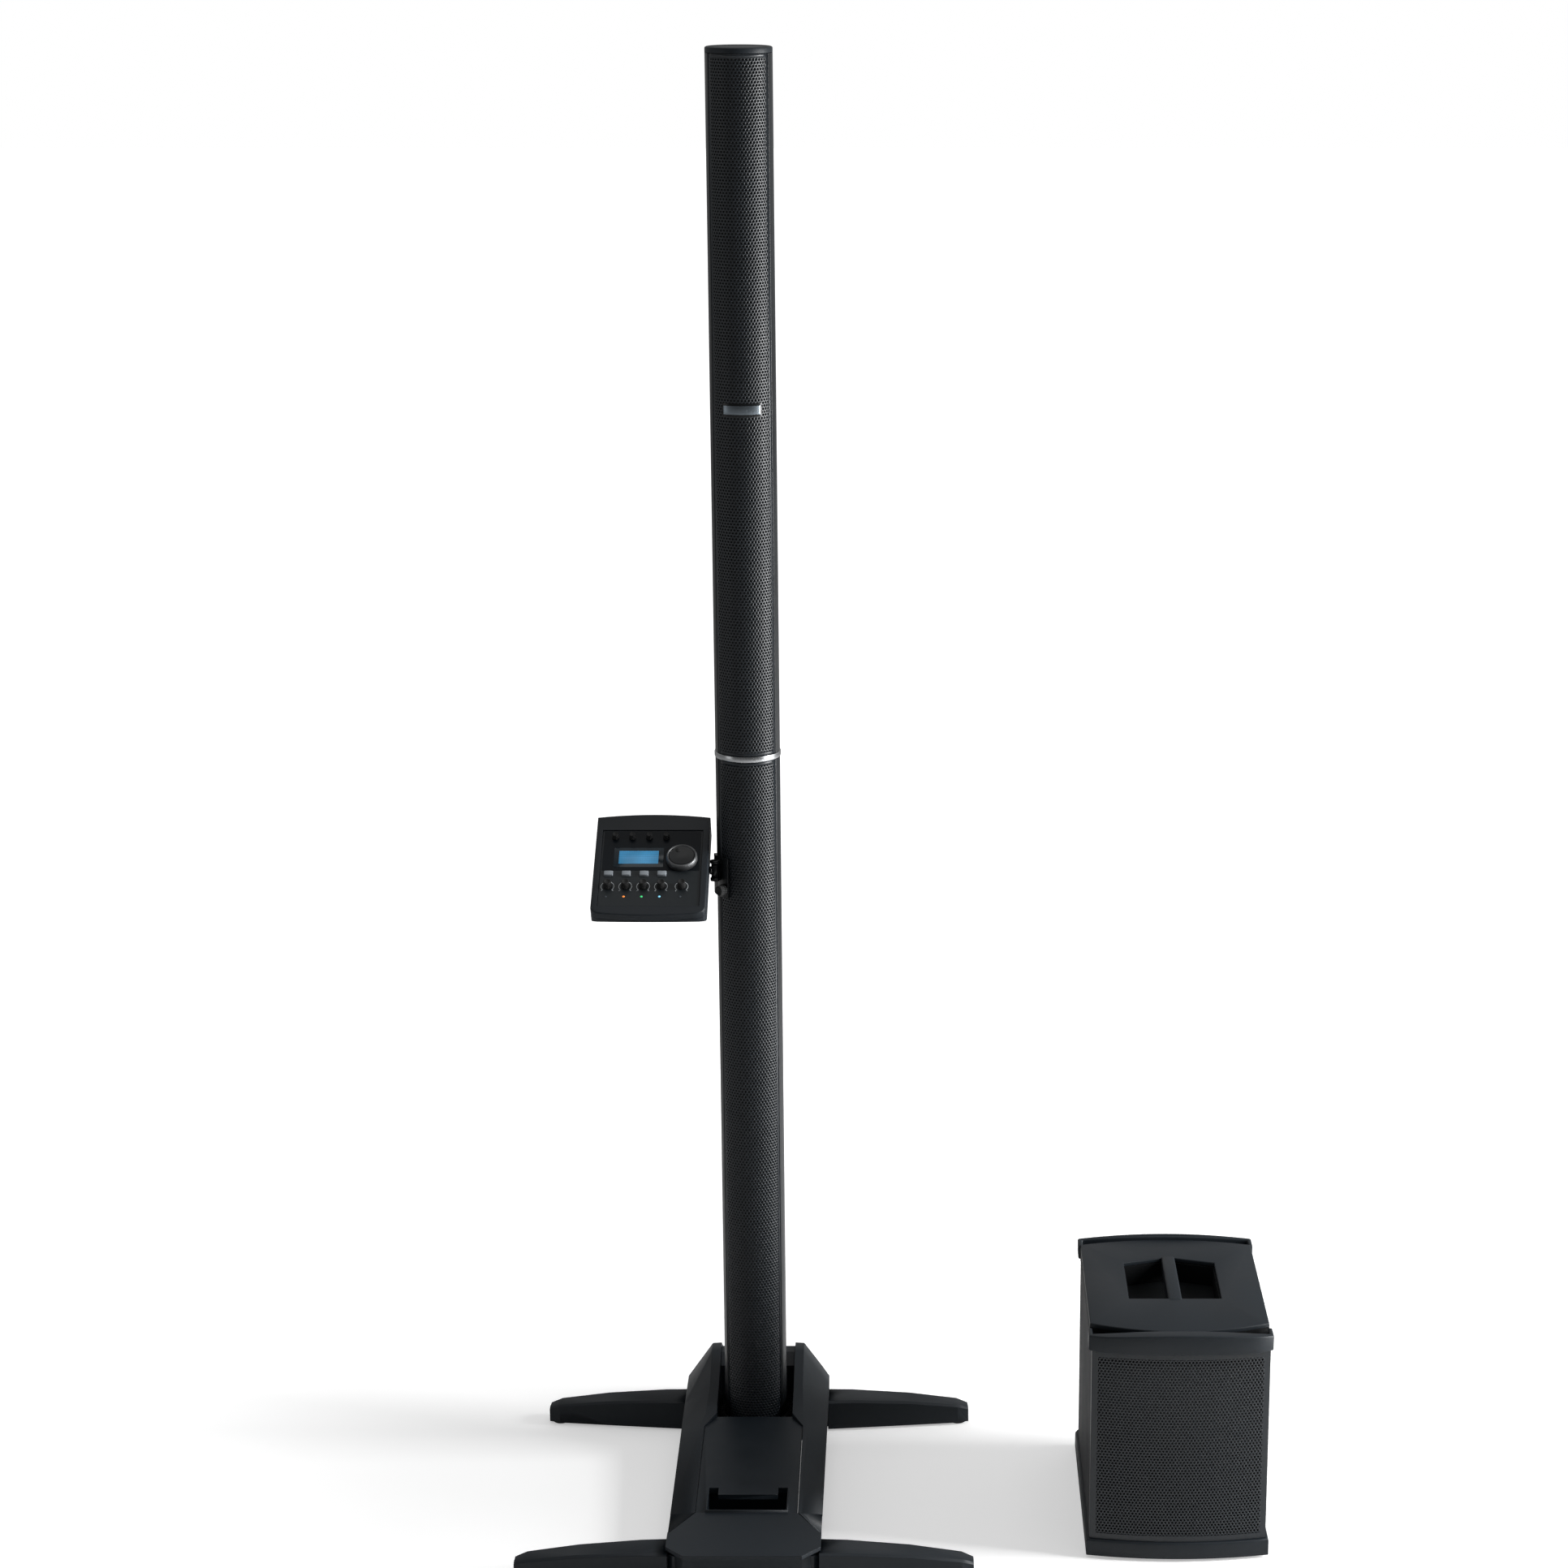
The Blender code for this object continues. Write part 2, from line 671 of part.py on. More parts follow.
def chassis():
    """The steel tray under the covers, with a lug and a pivot post for each leg."""
    front = FRONT_PIVOT_Y - LEG_ROOT_RADIUS
    tray = box(
        "chassis_tray",
        (-chassis_half, front, CHASSIS_LOW),
        (chassis_half, plate_front - FIT, chassis_top),
        STEEL,
    )
    for name, place, _ in pivots():
        side = math.copysign(1, place.x)
        back, front_y = place.y + LUG_HALF_WIDTH, place.y - LUG_HALF_WIDTH
        web_sides = sorted((side * chassis_half, side * (chassis_half - WEB_THICKNESS)))
        web = box(
            name + "_web",
            (web_sides[0], front_y, CHASSIS_LOW + OVERLAP),
            (web_sides[1], back, lug_top - OVERLAP),
            STEEL,
            helper=True,
        )
        lug_sides = sorted((side * (chassis_half - LUG_SEAT), place.x))
        lug = box(
            name + "_lug",
            (lug_sides[0], front_y, lug_low),
            (lug_sides[1], back, lug_top),
            STEEL,
            helper=True,
        )
        foot, head = (*place.xy, CHASSIS_LOW), (*place.xy, lug_top)
        boss = rod(name + "_boss", LUG_HALF_WIDTH, (*place.xy, lug_low), head, STEEL, helper=True)
        neck = (*place.xy, lug_top - OVERLAP)
        post = rod(name + "_post", PIVOT_RADIUS, foot, neck, STEEL, helper=True)
        join(tray, web, lug, boss, post)
    rod(
        "centre_foot",
        CENTRE_FOOT_RADIUS,
        (0, 0, 0),
        (0, 0, CHASSIS_LOW - FIT),
        RUBBER,
    )


def legs():
    """Four like legs, each folding about the post at its root."""
    bar_start = LEG_ROOT_RADIUS - 0.006
    stations = [
        (bar_start, LEG_ROOT_RADIUS, LEG_TOP),
        (LEG_REACH * 0.25, LEG_ROOT_RADIUS * 0.94, LEG_TOP - 0.001),
        (LEG_REACH * 0.62, LEG_ROOT_RADIUS * 0.79, LEG_TOP - 0.0075),
        (LEG_REACH - 0.017, LEG_TIP_HALF_WIDTH + 0.0045, LEG_TIP_TOP + 0.006),
        (LEG_REACH, LEG_TIP_HALF_WIDTH, LEG_TIP_TOP),
    ]
    sections = [
        [
            (u, -w, LEG_LOW),
            (u, w, LEG_LOW),
            (u, w, top - LEG_EDGE),
            (u, w - LEG_BEVEL, top),
            (u, LEG_BEVEL - w, top),
            (u, -w, top - LEG_EDGE),
        ]
        for u, w, top in stations
    ]
    foot_u = LEG_REACH - FOOT_FROM_TIP
    for name, place, angle in pivots():
        leg = face_outwards(loft(name + "_leg", sections, CHARCOAL_PLASTIC))
        root_ends = (0, 0, LEG_LOW + 0.0005), (0, 0, LEG_ROOT_TOP)
        foot_ends = (foot_u, 0, 0), (foot_u, 0, 2 * LEG_LOW)
        hole_ends = (0, 0, -0.01), (0, 0, LEG_TOP + 0.01)
        root = rod(name + "_root", LEG_ROOT_RADIUS, *root_ends, helper=True)
        foot = rod(name + "_foot", FOOT_RADIUS, *foot_ends, helper=True)
        hole = rod(name + "_hole", PIVOT_RADIUS + FIT, *hole_ends, helper=True)
        room = rod(
            name + "_lug_room",
            bar_start + 0.0005,
            (0, 0, LEG_ROOT_TOP),
            (0, 0, LEG_TOP + 0.01),
            helper=True,
        )
        join(leg, root, foot)
        cut(leg, room, hole)
        for piece in (leg, root, foot, hole, room):
            piece.location = place
            piece.rotation_euler.z = math.radians(angle)


def cheek_section(side, y, inner, peak, peak_outer, outer, shoulder):
    return [
        (side * inner, y, cover_low),
        (side * inner, y, peak),
        (side * peak_outer, y, peak - 0.001),
        (side * outer, y, shoulder),
        (side * outer, y, cover_low),
    ]


def cheeks():
    """The two side covers, high beside the column and low along the deck."""
    deck_back = -ring_radius - CHASSIS_MARGIN
    slope = (DECK_BACK_HEIGHT - DECK_FRONT_HEIGHT) / (deck_back - DECK_FRONT)

    def deck_height(y):
        return DECK_BACK_HEIGHT + slope * (y - deck_back)

    edge = deck_half + PEAK_WIDTH / 2
    nose_back = DECK_FRONT - COVER_GAP
    nose_top = DECK_FRONT_HEIGHT + OVERLAP
    crest = well_half + PEAK_WIDTH
    crest_back = REAR_PIVOT_Y + CREST_LENGTH
    fall_back = STAND_BACK - CHEEK_FALL
    widening = deck_back - DECK_TAPER
    shoulder = CHEEK_SHOULDER
    stations = [
        (STAND_BACK, well_half, CHEEK_BACK_TOP, crest - 0.004, body_half - 0.028, shoulder - 0.012),
        (fall_back, well_half, FALL_HEIGHT, crest, body_half - 0.012, shoulder - 0.004),
        (crest_back, well_half, PEAK_HEIGHT, crest, body_half, shoulder),
        (REAR_PIVOT_Y - 0.008, well_half, PEAK_HEIGHT, crest, body_half, shoulder),
        (CHEEK_SADDLE, well_half, PEAK_HEIGHT - 0.030, crest, body_half, shoulder - 0.002),
        (deck_back, well_half, deck_height(deck_back) + 0.006, deck_half, body_half, shoulder - 0.004),
        (widening, deck_half, deck_height(widening) + 0.002, edge, body_half, shoulder - 0.006),
        (nose_back, deck_half, nose_top, edge, body_half, cover_low + SIDE_EDGE),
    ]
    toe_top = nose_top - FIT
    toe_side = body_half - FIT
    toe_edge = cover_low + SIDE_EDGE - FIT
    toe_stations = [
        (nose_back + COVER_WALL, deck_half + FIT, toe_top, edge, toe_side, toe_edge),
        (NOSE_FLARE_END, body_half - TOE_TIP, toe_top, body_half - TOE_TIP / 2, toe_side, toe_edge),
    ]
    for name, side in (("left", -1), ("right", 1)):
        sections = [cheek_section(side, *station) for station in stations]
        if side > 0:
            sections = sections[::-1]
        cheek = loft(name + "_cheek", sections, CHARCOAL_PLASTIC, open_bottom=True)
        thicken(cheek, COVER_WALL)
        toe_sections = [cheek_section(side, *station) for station in toe_stations]
        toe = loft(name + "_toe", toe_sections, helper=True)
        join(cheek, face_outwards(toe))
    return deck_height


def column_socket():
    """The cup that holds the foot of the column, with a flange that closes the well round it."""
    pocket_floor = COLUMN_BASE - PLUG_DEPTH - FIT
    cup = turned(
        "column_socket",
        [
            (0, pocket_floor),
            (PLUG_RADIUS + SOCKET_PLAY, pocket_floor),
            (PLUG_RADIUS + SOCKET_PLAY, COLUMN_BASE - FIT),
            (socket_bore, COLUMN_BASE - FIT),
            (socket_bore, SOCKET_TOP),
            (ring_radius, SOCKET_TOP),
            (ring_radius, chassis_top + FIT),
            (0, chassis_top + FIT),
        ],
        sides=48,
    )
    flange_back = ring_radius + 0.004
    flange = box(
        "socket_flange",
        (FIT - well_half, -ring_radius - CHASSIS_MARGIN / 2, SOCKET_TOP - 0.001 - FLANGE_THICKNESS),
        (well_half - FIT, flange_back, SOCKET_TOP - 0.001),
        helper=True,
    )
    flange_bore = rod(
        "flange_bore",
        socket_bore + SOCKET_WALL / 2,
        (0, 0, COLUMN_BASE),
        (0, 0, SOCKET_TOP + 0.01),
        helper=True,
        sides=48,
    )
    join(cup, cut(flange, flange_bore))
    return flange_back


def deck(deck_height):
    """The sloping panel in front of the column, with the hand recess at its front."""
    back = -ring_radius - CHASSIS_MARGIN
    half = deck_half - COVER_GAP
    neck = well_half - COVER_GAP

    def plate_section(y, width, thickness):
        top = deck_height(y)
        return [
            (-width, y, top - thickness),
            (width, y, top - thickness),
            (width, y, top),
            (-width, y, top),
        ]

    taper = back - DECK_TAPER
    panel = face_outwards(loft(
        "deck_cover",
        [
            plate_section(back, neck, DECK_THICKNESS),
            plate_section(taper, half, DECK_THICKNESS),
            plate_section(DECK_FRONT, half, DECK_THICKNESS),
        ],
        CHARCOAL_PLASTIC,
    ))
    recess_back = DECK_FRONT + RECESS_LENGTH
    recess_low = deck_height(DECK_FRONT) - RECESS_DEPTH
    half_recess = RECESS_WIDTH / 2
    cup = box(
        "recess_cup",
        (-half_recess - RECESS_WALL, DECK_FRONT + 0.0002, recess_low - RECESS_WALL),
        (half_recess + RECESS_WALL, recess_back + RECESS_WALL, deck_height(recess_back) - 0.0015),
        helper=True,
    )
    hollow = box(
        "recess_hollow",
        (-half_recess, DECK_FRONT + RECESS_WALL, recess_low),
        (half_recess, recess_back, deck_height(DECK_FRONT) - DECK_THICKNESS - 0.0004),
        helper=True,
    )
    mouth = box(
        "recess_mouth",
        (-half_recess, DECK_FRONT + RECESS_WALL, recess_low + 0.010),
        (half_recess, recess_back - LIP_LENGTH, DECK_BACK_HEIGHT + 0.02),
        helper=True,
    )
    join(panel, cup)
    cut(panel, hollow, mouth)
    for name, side in (("left", -1), ("right", 1)):
        inner = side * (half_recess - LIP_SIDE)
        outer = side * half_recess
        horn = box(
            name + "_recess_horn",
            (min(inner, outer), recess_back - LIP_LENGTH - 0.002, recess_low + 0.012),
            (max(inner, outer), recess_back - 0.004, DECK_BACK_HEIGHT + 0.02),
            helper=True,
        )
        cut(panel, horn)


def nose():
    """The front cover, which widens from the deck to the front legs."""
    back = DECK_FRONT - COVER_GAP
    neck = deck_half - COVER_GAP
    corner = body_half - 0.026
    toe_inner = body_half - TOE_TIP - COVER_GAP
    outline = [
        (-neck, back),
        (neck, back),
        (toe_inner, NOSE_FLARE_END),
        (toe_inner, NOSE_FLARE_END - COVER_GAP),
        (body_half, NOSE_FLARE_END - COVER_GAP),
        (body_half, STAND_FRONT + 0.028),
        (corner, STAND_FRONT),
        (-corner, STAND_FRONT),
        (-body_half, STAND_FRONT + 0.028),
        (-body_half, NOSE_FLARE_END - COVER_GAP),
        (-toe_inner, NOSE_FLARE_END - COVER_GAP),
        (-toe_inner, NOSE_FLARE_END),
    ]
    top = DECK_FRONT_HEIGHT + 0.001
    cover = outline_slab("nose_cover", outline, cover_low, top, CHARCOAL_PLASTIC)
    lip_low = CHASSIS_LOW + 0.001
    wall_back = FRONT_PIVOT_Y - LEG_ROOT_RADIUS - 0.0055
    lip = outline_slab(
        "nose_lip",
        [
            (-corner, STAND_FRONT + 0.0002),
            (corner, STAND_FRONT + 0.0002),
            (corner + 0.012, wall_back),
            (-corner - 0.012, wall_back),
        ],
        lip_low,
        cover_low + 0.002,
        helper=True,
    )
    join(cover, lip)


def rear_cover(flange_back):
    """The cover between the cheeks behind the column."""
    half = well_half - COVER_GAP
    start = flange_back + COVER_GAP

    def section(y, top):
        return [
            (-half, y, cover_low),
            (-half, y, top),
            (half, y, top),
            (half, y, cover_low),
        ]

    cover = loft(
        "rear_cover",
        [
            section(start, PEAK_HEIGHT - 0.020),
            section(REAR_PIVOT_Y, PEAK_HEIGHT - REAR_COVER_STEP),
            section(REAR_PIVOT_Y + CREST_LENGTH, PEAK_HEIGHT - REAR_COVER_STEP),
            section(STAND_BACK - CHEEK_FALL, FALL_HEIGHT - REAR_COVER_STEP),
            section(STAND_BACK, SOCKET_TOP),
        ],
        CHARCOAL_PLASTIC,
        open_bottom=True,
    )
    thicken(cover, COVER_WALL)


def connectors():
    """The rear connector block with the mains inlet, the bass output and the rocker switch."""
    back = STAND_BACK
    plate = box(
        "connector_plate",
        (-PLATE_HALF_WIDTH, plate_front, chassis_top - 0.003),
        (PLATE_HALF_WIDTH, back, cover_low - FIT),
        BLACK_PLASTIC,
    )

    def block(name, x, size, front, rear, helper, finish=BLACK_PLASTIC):
        return box(
            name,
            (x - size[0] / 2, front, CONNECTOR_Z - size[1] / 2),
            (x + size[0] / 2, rear, CONNECTOR_Z + size[1] / 2),
            finish,
            helper,
        )

    inlet_hole = [side + 2 * FIT for side in INLET_SIZE]
    switch_hole = [SWITCH_SIZE[0] + 2 * FIT, SWITCH_SIZE[1] + 0.006]
    cut(
        plate,
        block("inlet_hole", INLET_X, inlet_hole, plate_front - 0.01, back + 0.01, True),
        block("switch_hole", SWITCH_X, switch_hole, plate_front - 0.01, back + 0.01, True),
        rod(
            "output_hole",
            SOCKET_RADIUS + FIT,
            (OUTPUT_X, plate_front - 0.01, CONNECTOR_Z),
            (OUTPUT_X, back + 0.01, CONNECTOR_Z),
            helper=True,
        ),
    )
    inlet = block("mains_inlet", INLET_X, INLET_SIZE, plate_front, back - 0.0005, False)
    cavity_front = back - 0.0005 - CAVITY_DEPTH
    cut(inlet, block("inlet_cavity", INLET_X, INLET_CAVITY, cavity_front, back + 0.01, True))
    output = rod(
        "output_socket",
        SOCKET_RADIUS,
        (OUTPUT_X, plate_front, CONNECTOR_Z),
        (OUTPUT_X, back - 0.0005, CONNECTOR_Z),
    )
    cut(output, rod(
        "output_cavity",
        SOCKET_CAVITY,
        (OUTPUT_X, cavity_front, CONNECTOR_Z),
        (OUTPUT_X, back + 0.01, CONNECTOR_Z),
        helper=True,
    ))
    half = SWITCH_SIZE[1] / 2
    rocker = outline_slab(
        "power_switch",
        [(-0.0045, -half * 0.7), (0.0040, -half), (0.0050, -half), (0.0030, 0), (0.0065, half),
         (0.0050, half + 0.0005), (-0.0045, half * 0.7)],
        -SWITCH_SIZE[0] / 2,
        SWITCH_SIZE[0] / 2,
    )
    rocker.location = (SWITCH_X, back - 0.0065, CONNECTOR_Z)
    rocker.rotation_euler = (math.pi / 2, 0, math.pi / 2)


def amplifier():
    """The amplifier board on its stand-offs and heat sink, and the ring transformer."""
    board_low = chassis_top + STAND_OFF_HEIGHT
    half = chassis_half - BOARD_MARGIN
    front = DECK_FRONT + RECESS_LENGTH + BOARD_BEHIND_RECESS
    ring_middle = -ring_radius - TRANSFORMER_GAP - TRANSFORMER_RADIUS
    back = ring_middle - TRANSFORMER_RADIUS - BOARD_GAP
    board = box(
        "amplifier_board",
        (-half, front, board_low),
        (half, back, board_low + BOARD_THICKNESS),
        BOARD_GREEN,
    )
    sink = box(
        "heat_sink",
        (SINK_MARGIN - half, front + SINK_MARGIN, chassis_top + FIT),
        (half - SINK_MARGIN, front + SINK_MARGIN + SINK_LENGTH, board_low + SINK_HEIGHT),
        helper=True,
    )
    join(board, sink)
    for name, side in (("left", -1), ("right", 1)):
        place = (side * (half - SINK_MARGIN), back - STAND_OFF_INSET)
        stand_off = rod(
            name + "_stand_off",
            STAND_OFF_RADIUS,
            (*place, chassis_top + FIT),
            (*place, board_low + BOARD_THICKNESS / 2),
            helper=True,
        )
        join(board, stand_off)
    ring_low = chassis_top + FIT
    ring_top = ring_low + TRANSFORMER_HEIGHT
    rounding = TRANSFORMER_ROUNDING
    ring = turned(
        "transformer",
        [
            (TRANSFORMER_RADIUS - rounding, ring_top),
            (TRANSFORMER_RADIUS, ring_top - rounding),
            (TRANSFORMER_RADIUS, ring_low + rounding),
            (TRANSFORMER_RADIUS - rounding, ring_low),
            (TRANSFORMER_BORE, ring_low),
            (TRANSFORMER_BORE, ring_top),
        ],
        BOARD_GREEN,
        sides=32,
    )
    ring.location.y = ring_middle


# ---------------------------------------------------------------- arm and mixer


def arm():
    clamp = arc_wall(
        "arm_clamp",
        saddle_outer,
        CLAMP_THICKNESS,
        *CLAMP_ANGLES,
        CLAMP_LOW,
        CLAMP_TOP,
        BLACK_PLASTIC,
    )
    half_barrel = BARREL_HEIGHT / 2
    base = arm_pivot.copy()
    lugs = []
    for name, sign in (("top", 1), ("bottom", -1)):
        near = base + Vector((0, 0, sign * (half_barrel + FIT)))
        far = near + Vector((0, 0, sign * CLAMP_LUG_HEIGHT))
        lugs.append(rod(name + "_clamp_lug", CLAMP_LUG, near, far, helper=True))
    pin_half = Vector((0, 0, half_barrel + 0.002))
    pin = rod("arm_pin", PIVOT_PIN, base - pin_half, base + pin_half, helper=True, sides=16)
    thumb_hole = rod(
        "thumb_hole",
        THUMB_SHAFT + FIT,
        around(THUMB_ANGLE, saddle_inner - 0.004, THUMB_HEIGHT),
        around(THUMB_ANGLE, saddle_outer + 0.004, THUMB_HEIGHT),
        helper=True,
        sides=16,
    )
    join(clamp, *lugs, pin)
    cut(clamp, thumb_hole)
    thumb = rod(
        "clamp_knob",
        THUMB_RADIUS,
        around(THUMB_ANGLE, saddle_outer + 2 * FIT, THUMB_HEIGHT),
        around(THUMB_ANGLE, saddle_outer + THUMB_LENGTH, THUMB_HEIGHT),
        sides=20,
    )
    shaft = rod(
        "thumb_shaft",
        THUMB_SHAFT,
        around(THUMB_ANGLE, saddle_inner + FIT, THUMB_HEIGHT),
        around(THUMB_ANGLE, saddle_outer + 0.004, THUMB_HEIGHT),
        helper=True,
        sides=16,
    )
    join(thumb, shaft)
    barrel = rod(
        "swing_arm",
        BARREL_RADIUS,
        base - Vector((0, 0, half_barrel)),
        base + Vector((0, 0, half_barrel)),
        BLACK_PLASTIC,
    )
    mixer_side = mixer_x + MIXER_HALF_WIDTH
    bar = rod(
        "arm_bar",
        ARM_BAR,
        (mixer_side + 0.001, base.y, base.z),
        (base.x - PIVOT_PIN - 0.0015, base.y, base.z),
        helper=True,
        sides=16,
    )
    tilt_pin = rod(
        "tilt_pin",
        TILT_PIN_RADIUS,
        (mixer_side - TILT_PIN_LENGTH, base.y, base.z),
        (mixer_side + 0.003, base.y, base.z),
        helper=True,
        sides=20,
    )
    arm_hole = rod(
        "arm_hole",
        PIVOT_PIN + FIT,
        base - Vector((0, 0, 0.03)),
        base + Vector((0, 0, 0.03)),
        helper=True,
        sides=16,
    )
    join(barrel, bar, tilt_pin)
    cut(barrel, arm_hole)


def mixer_outline():
    """The mixer's plan, with bowed ends and rounded front corners."""
    half, side = MIXER_HALF_WIDTH, MIXER_SIDE_LENGTH
    steps = 8
    points = []
    for i in range(steps + 1):
        x = -half + MIXER_CORNER + (2 * half - 2 * MIXER_CORNER) * i / steps
        share = 1 - (x / half) ** 2
        points.append((x, -side - MIXER_BOW * share))
    points.append((half - MIXER_CORNER * 0.29, -side + MIXER_CORNER * 0.29))
    points.append((half, -side + MIXER_CORNER))
    for i in range(steps + 1):
        x = half - 2 * half * i / steps
        share = 1 - (x / half) ** 2
        points.append((x, side + MIXER_BOW * share))
    points.append((-half, -side + MIXER_CORNER))
    points.append((-half + MIXER_CORNER * 0.29, -side + MIXER_CORNER * 0.29))
    return points


def undercut_wedge():
    """What the slanted underside takes off the mixer's front."""
    front, below = -MIXER_SIDE_LENGTH - 3 * MIXER_BOW, -1.5 * MIXER_DEPTH
    top_y, top_z = UNDERCUT_TOP
    corners = [
        (front, top_z + UNDERCUT_SLOPE * (front - top_y)),
        (front, below),
        (top_y + (below - top_z) / UNDERCUT_SLOPE, below),
    ]
    ends = (-1.1 * MIXER_HALF_WIDTH, 1.1 * MIXER_HALF_WIDTH)
    return face_outwards(loft("mixer_undercut", [[(x, y, z) for y, z in corners] for x in ends], helper=True))


def mixer_case(frame):
    case = outline_slab("mixer_base", mixer_outline(), -MIXER_DEPTH, 0, CHARCOAL_PLASTIC)
    hollow = box(
        "mixer_hollow",
        (-PANEL_HALF_WIDTH - FIT, FRONT_HOLLOW_BACK, MIXER_FLOOR - MIXER_DEPTH),
        (PANEL_HALF_WIDTH + FIT, PANEL_BACK + FIT, 0.01),
        helper=True,
    )
    front_hollow = box(
        "mixer_front_hollow",
        (-PANEL_HALF_WIDTH - FIT, PANEL_FRONT - FIT, FRONT_HOLLOW_LOW),
        (PANEL_HALF_WIDTH + FIT, FRONT_HOLLOW_BACK + OVERLAP, 0.01),
        helper=True,
    )
    undercut = undercut_wedge()
    boss = box(
        "tilt_boss",
        (MIXER_HALF_WIDTH - TILT_PIN_LENGTH - 0.004, PIN_BACK - BOSS_HALF, MIXER_FLOOR - MIXER_DEPTH - 0.002),
        (MIXER_HALF_WIDTH - 0.002, PIN_BACK + BOSS_HALF, BOSS_HALF - PIN_DOWN),
        helper=True,
    )
    bore = rod(
        "tilt_bore",
        TILT_PIN_RADIUS + FIT,
        (MIXER_HALF_WIDTH - TILT_PIN_LENGTH - 0.001, PIN_BACK, -PIN_DOWN),
        (MIXER_HALF_WIDTH + 0.01, PIN_BACK, -PIN_DOWN),
        helper=True,
    )
    cut(case, hollow, front_hollow, undercut)
    join(case, boss)
    cut(case, bore)
    board = box(
        "mixer_board",
        (-PANEL_HALF_WIDTH + FIT, PANEL_FRONT + FIT, -BOARD_DROP - BOARD_THICKNESS),
        (PANEL_HALF_WIDTH - FIT, PANEL_BACK - FIT, -BOARD_DROP),
        BOARD_GREEN,
    )
    for piece in (case, hollow, front_hollow, undercut, boss, bore, board):
        piece.parent = frame


def control_places():
    """Every turning control: name, place on the panel, radius and height."""
    places = [("selector_dial", *DIAL_PLACE, DIAL_RADIUS, DIAL_HEIGHT)]
    for i in range(4):
        x = FIRST_TRIM_X + i * TRIM_PITCH
        places.append((f"trim_knob_{i + 1}", x, TRIM_ROW, TRIM_RADIUS, TRIM_HEIGHT))
    for i in range(5):
        x = FIRST_CONTROL_X + i * CONTROL_PITCH if i < 4 else LAST_LEVEL_X
        places.append((f"level_knob_{i + 1}", x, LEVEL_ROW, LEVEL_RADIUS, LEVEL_HEIGHT))
    return places


def mixer_panel(frame):
    """The control panel with its holes, the screen, the knobs and the push buttons."""
    top = -PANEL_DROP
    panel = box(
        "mixer_panel",
        (-PANEL_HALF_WIDTH, PANEL_FRONT, top - PANEL_THICKNESS),
        (PANEL_HALF_WIDTH, PANEL_BACK, top),
        BLACK_PLASTIC,
    )
    panel.parent = frame
    shaft_low = FIT - BOARD_DROP
    for name, x, y, radius, height in control_places():
        ends = (x, y, top - 0.01), (x, y, top + 0.01)
        hole = rod(name + "_hole", SHAFT_RADIUS + FIT, *ends, helper=True, sides=12)
        cut(panel, hole)
        knob = turned(
            name,
            [
                (0, top + KNOB_GAP + height),
                (radius * 0.86, top + KNOB_GAP + height),
                (radius * 0.92, top + KNOB_GAP + height - 0.001),
                (radius, top + KNOB_GAP),
                (SHAFT_RADIUS, top + KNOB_GAP),
                (SHAFT_RADIUS, shaft_low),
                (0, shaft_low),
            ],
            BLACK_PLASTIC,
            sides=16 if radius < 0.01 else 32,
        )
        knob.location = (x, y, 0)
        for piece in (hole, knob):
            piece.parent = frame
    for i in range(4):
        x = FIRST_CONTROL_X + i * CONTROL_PITCH
        wide, tall = BUTTON_SIZE[0] / 2, BUTTON_SIZE[1] / 2
        hole = box(
            f"button_hole_{i + 1}",
            (x - wide - FIT, BUTTON_ROW - tall - FIT, top - 0.01),
            (x + wide + FIT, BUTTON_ROW + tall + FIT, top + 0.01),
            helper=True,
        )
        cut(panel, hole)
        button = box(
            f"push_button_{i + 1}",
            (-wide, -tall, -(BOARD_DROP - PANEL_DROP) + BUTTON_TRAVEL + FIT),
            (wide, tall, BUTTON_PROUD),
            LIGHT_GREY,
        )
        button.location = (x, BUTTON_ROW, top)
        for piece in (hole, button):
            piece.parent = frame
    low = Vector((*SCREEN_PLACE, top)) - Vector((SCREEN_SIZE[0] / 2, SCREEN_SIZE[1] / 2, SCREEN_THICKNESS))
    high = Vector((*SCREEN_PLACE, top)) + Vector((SCREEN_SIZE[0] / 2, SCREEN_SIZE[1] / 2, 0))
    window = box("display_window", low, high, SCREEN_BLUE)
    room = Vector((FIT, FIT, FIT))
    seat = box("display_seat", low - room, high + Vector((FIT, FIT, 0.01)), helper=True)
    cut(panel, seat)
    for piece in (window, seat):
        piece.parent = frame


def mixer():
    frame = bpy.data.objects.new("mixer_frame", None)
    PARTS.objects.link(frame)
    frame.location = mixer_middle
    frame.rotation_euler.x = math.radians(MIXER_TILT)
    mixer_case(frame)
    mixer_panel(frame)


# ---------------------------------------------------------------- bass module


def bass_outline(half, front, back, corner=0.012):
    """The bass module's plan about its own middle, with a bowed front."""
    steps = 10
    points = []
    for i in range(steps + 1):
        x = -half + 2 * half * i / steps
        points.append((BASS_X + x, front + BASS_BOW * (x / half) ** 2))
    points.append((BASS_X + half, back - corner))
    points.append((BASS_X + half - corner, back))
    points.append((BASS_X - half + corner, back))
    points.append((BASS_X - half, back - corner))
    return points


def pocket_block(name, margin, top):
    """A block round the handle pocket, a margin larger than it."""
    return box(
        name,
        (BASS_X - POCKET_HALF_WIDTH - margin, POCKET_FRONT - margin, pocket_low - margin),
        (BASS_X + POCKET_HALF_WIDTH + margin, POCKET_BACK + margin, top),
        helper=True,
    )


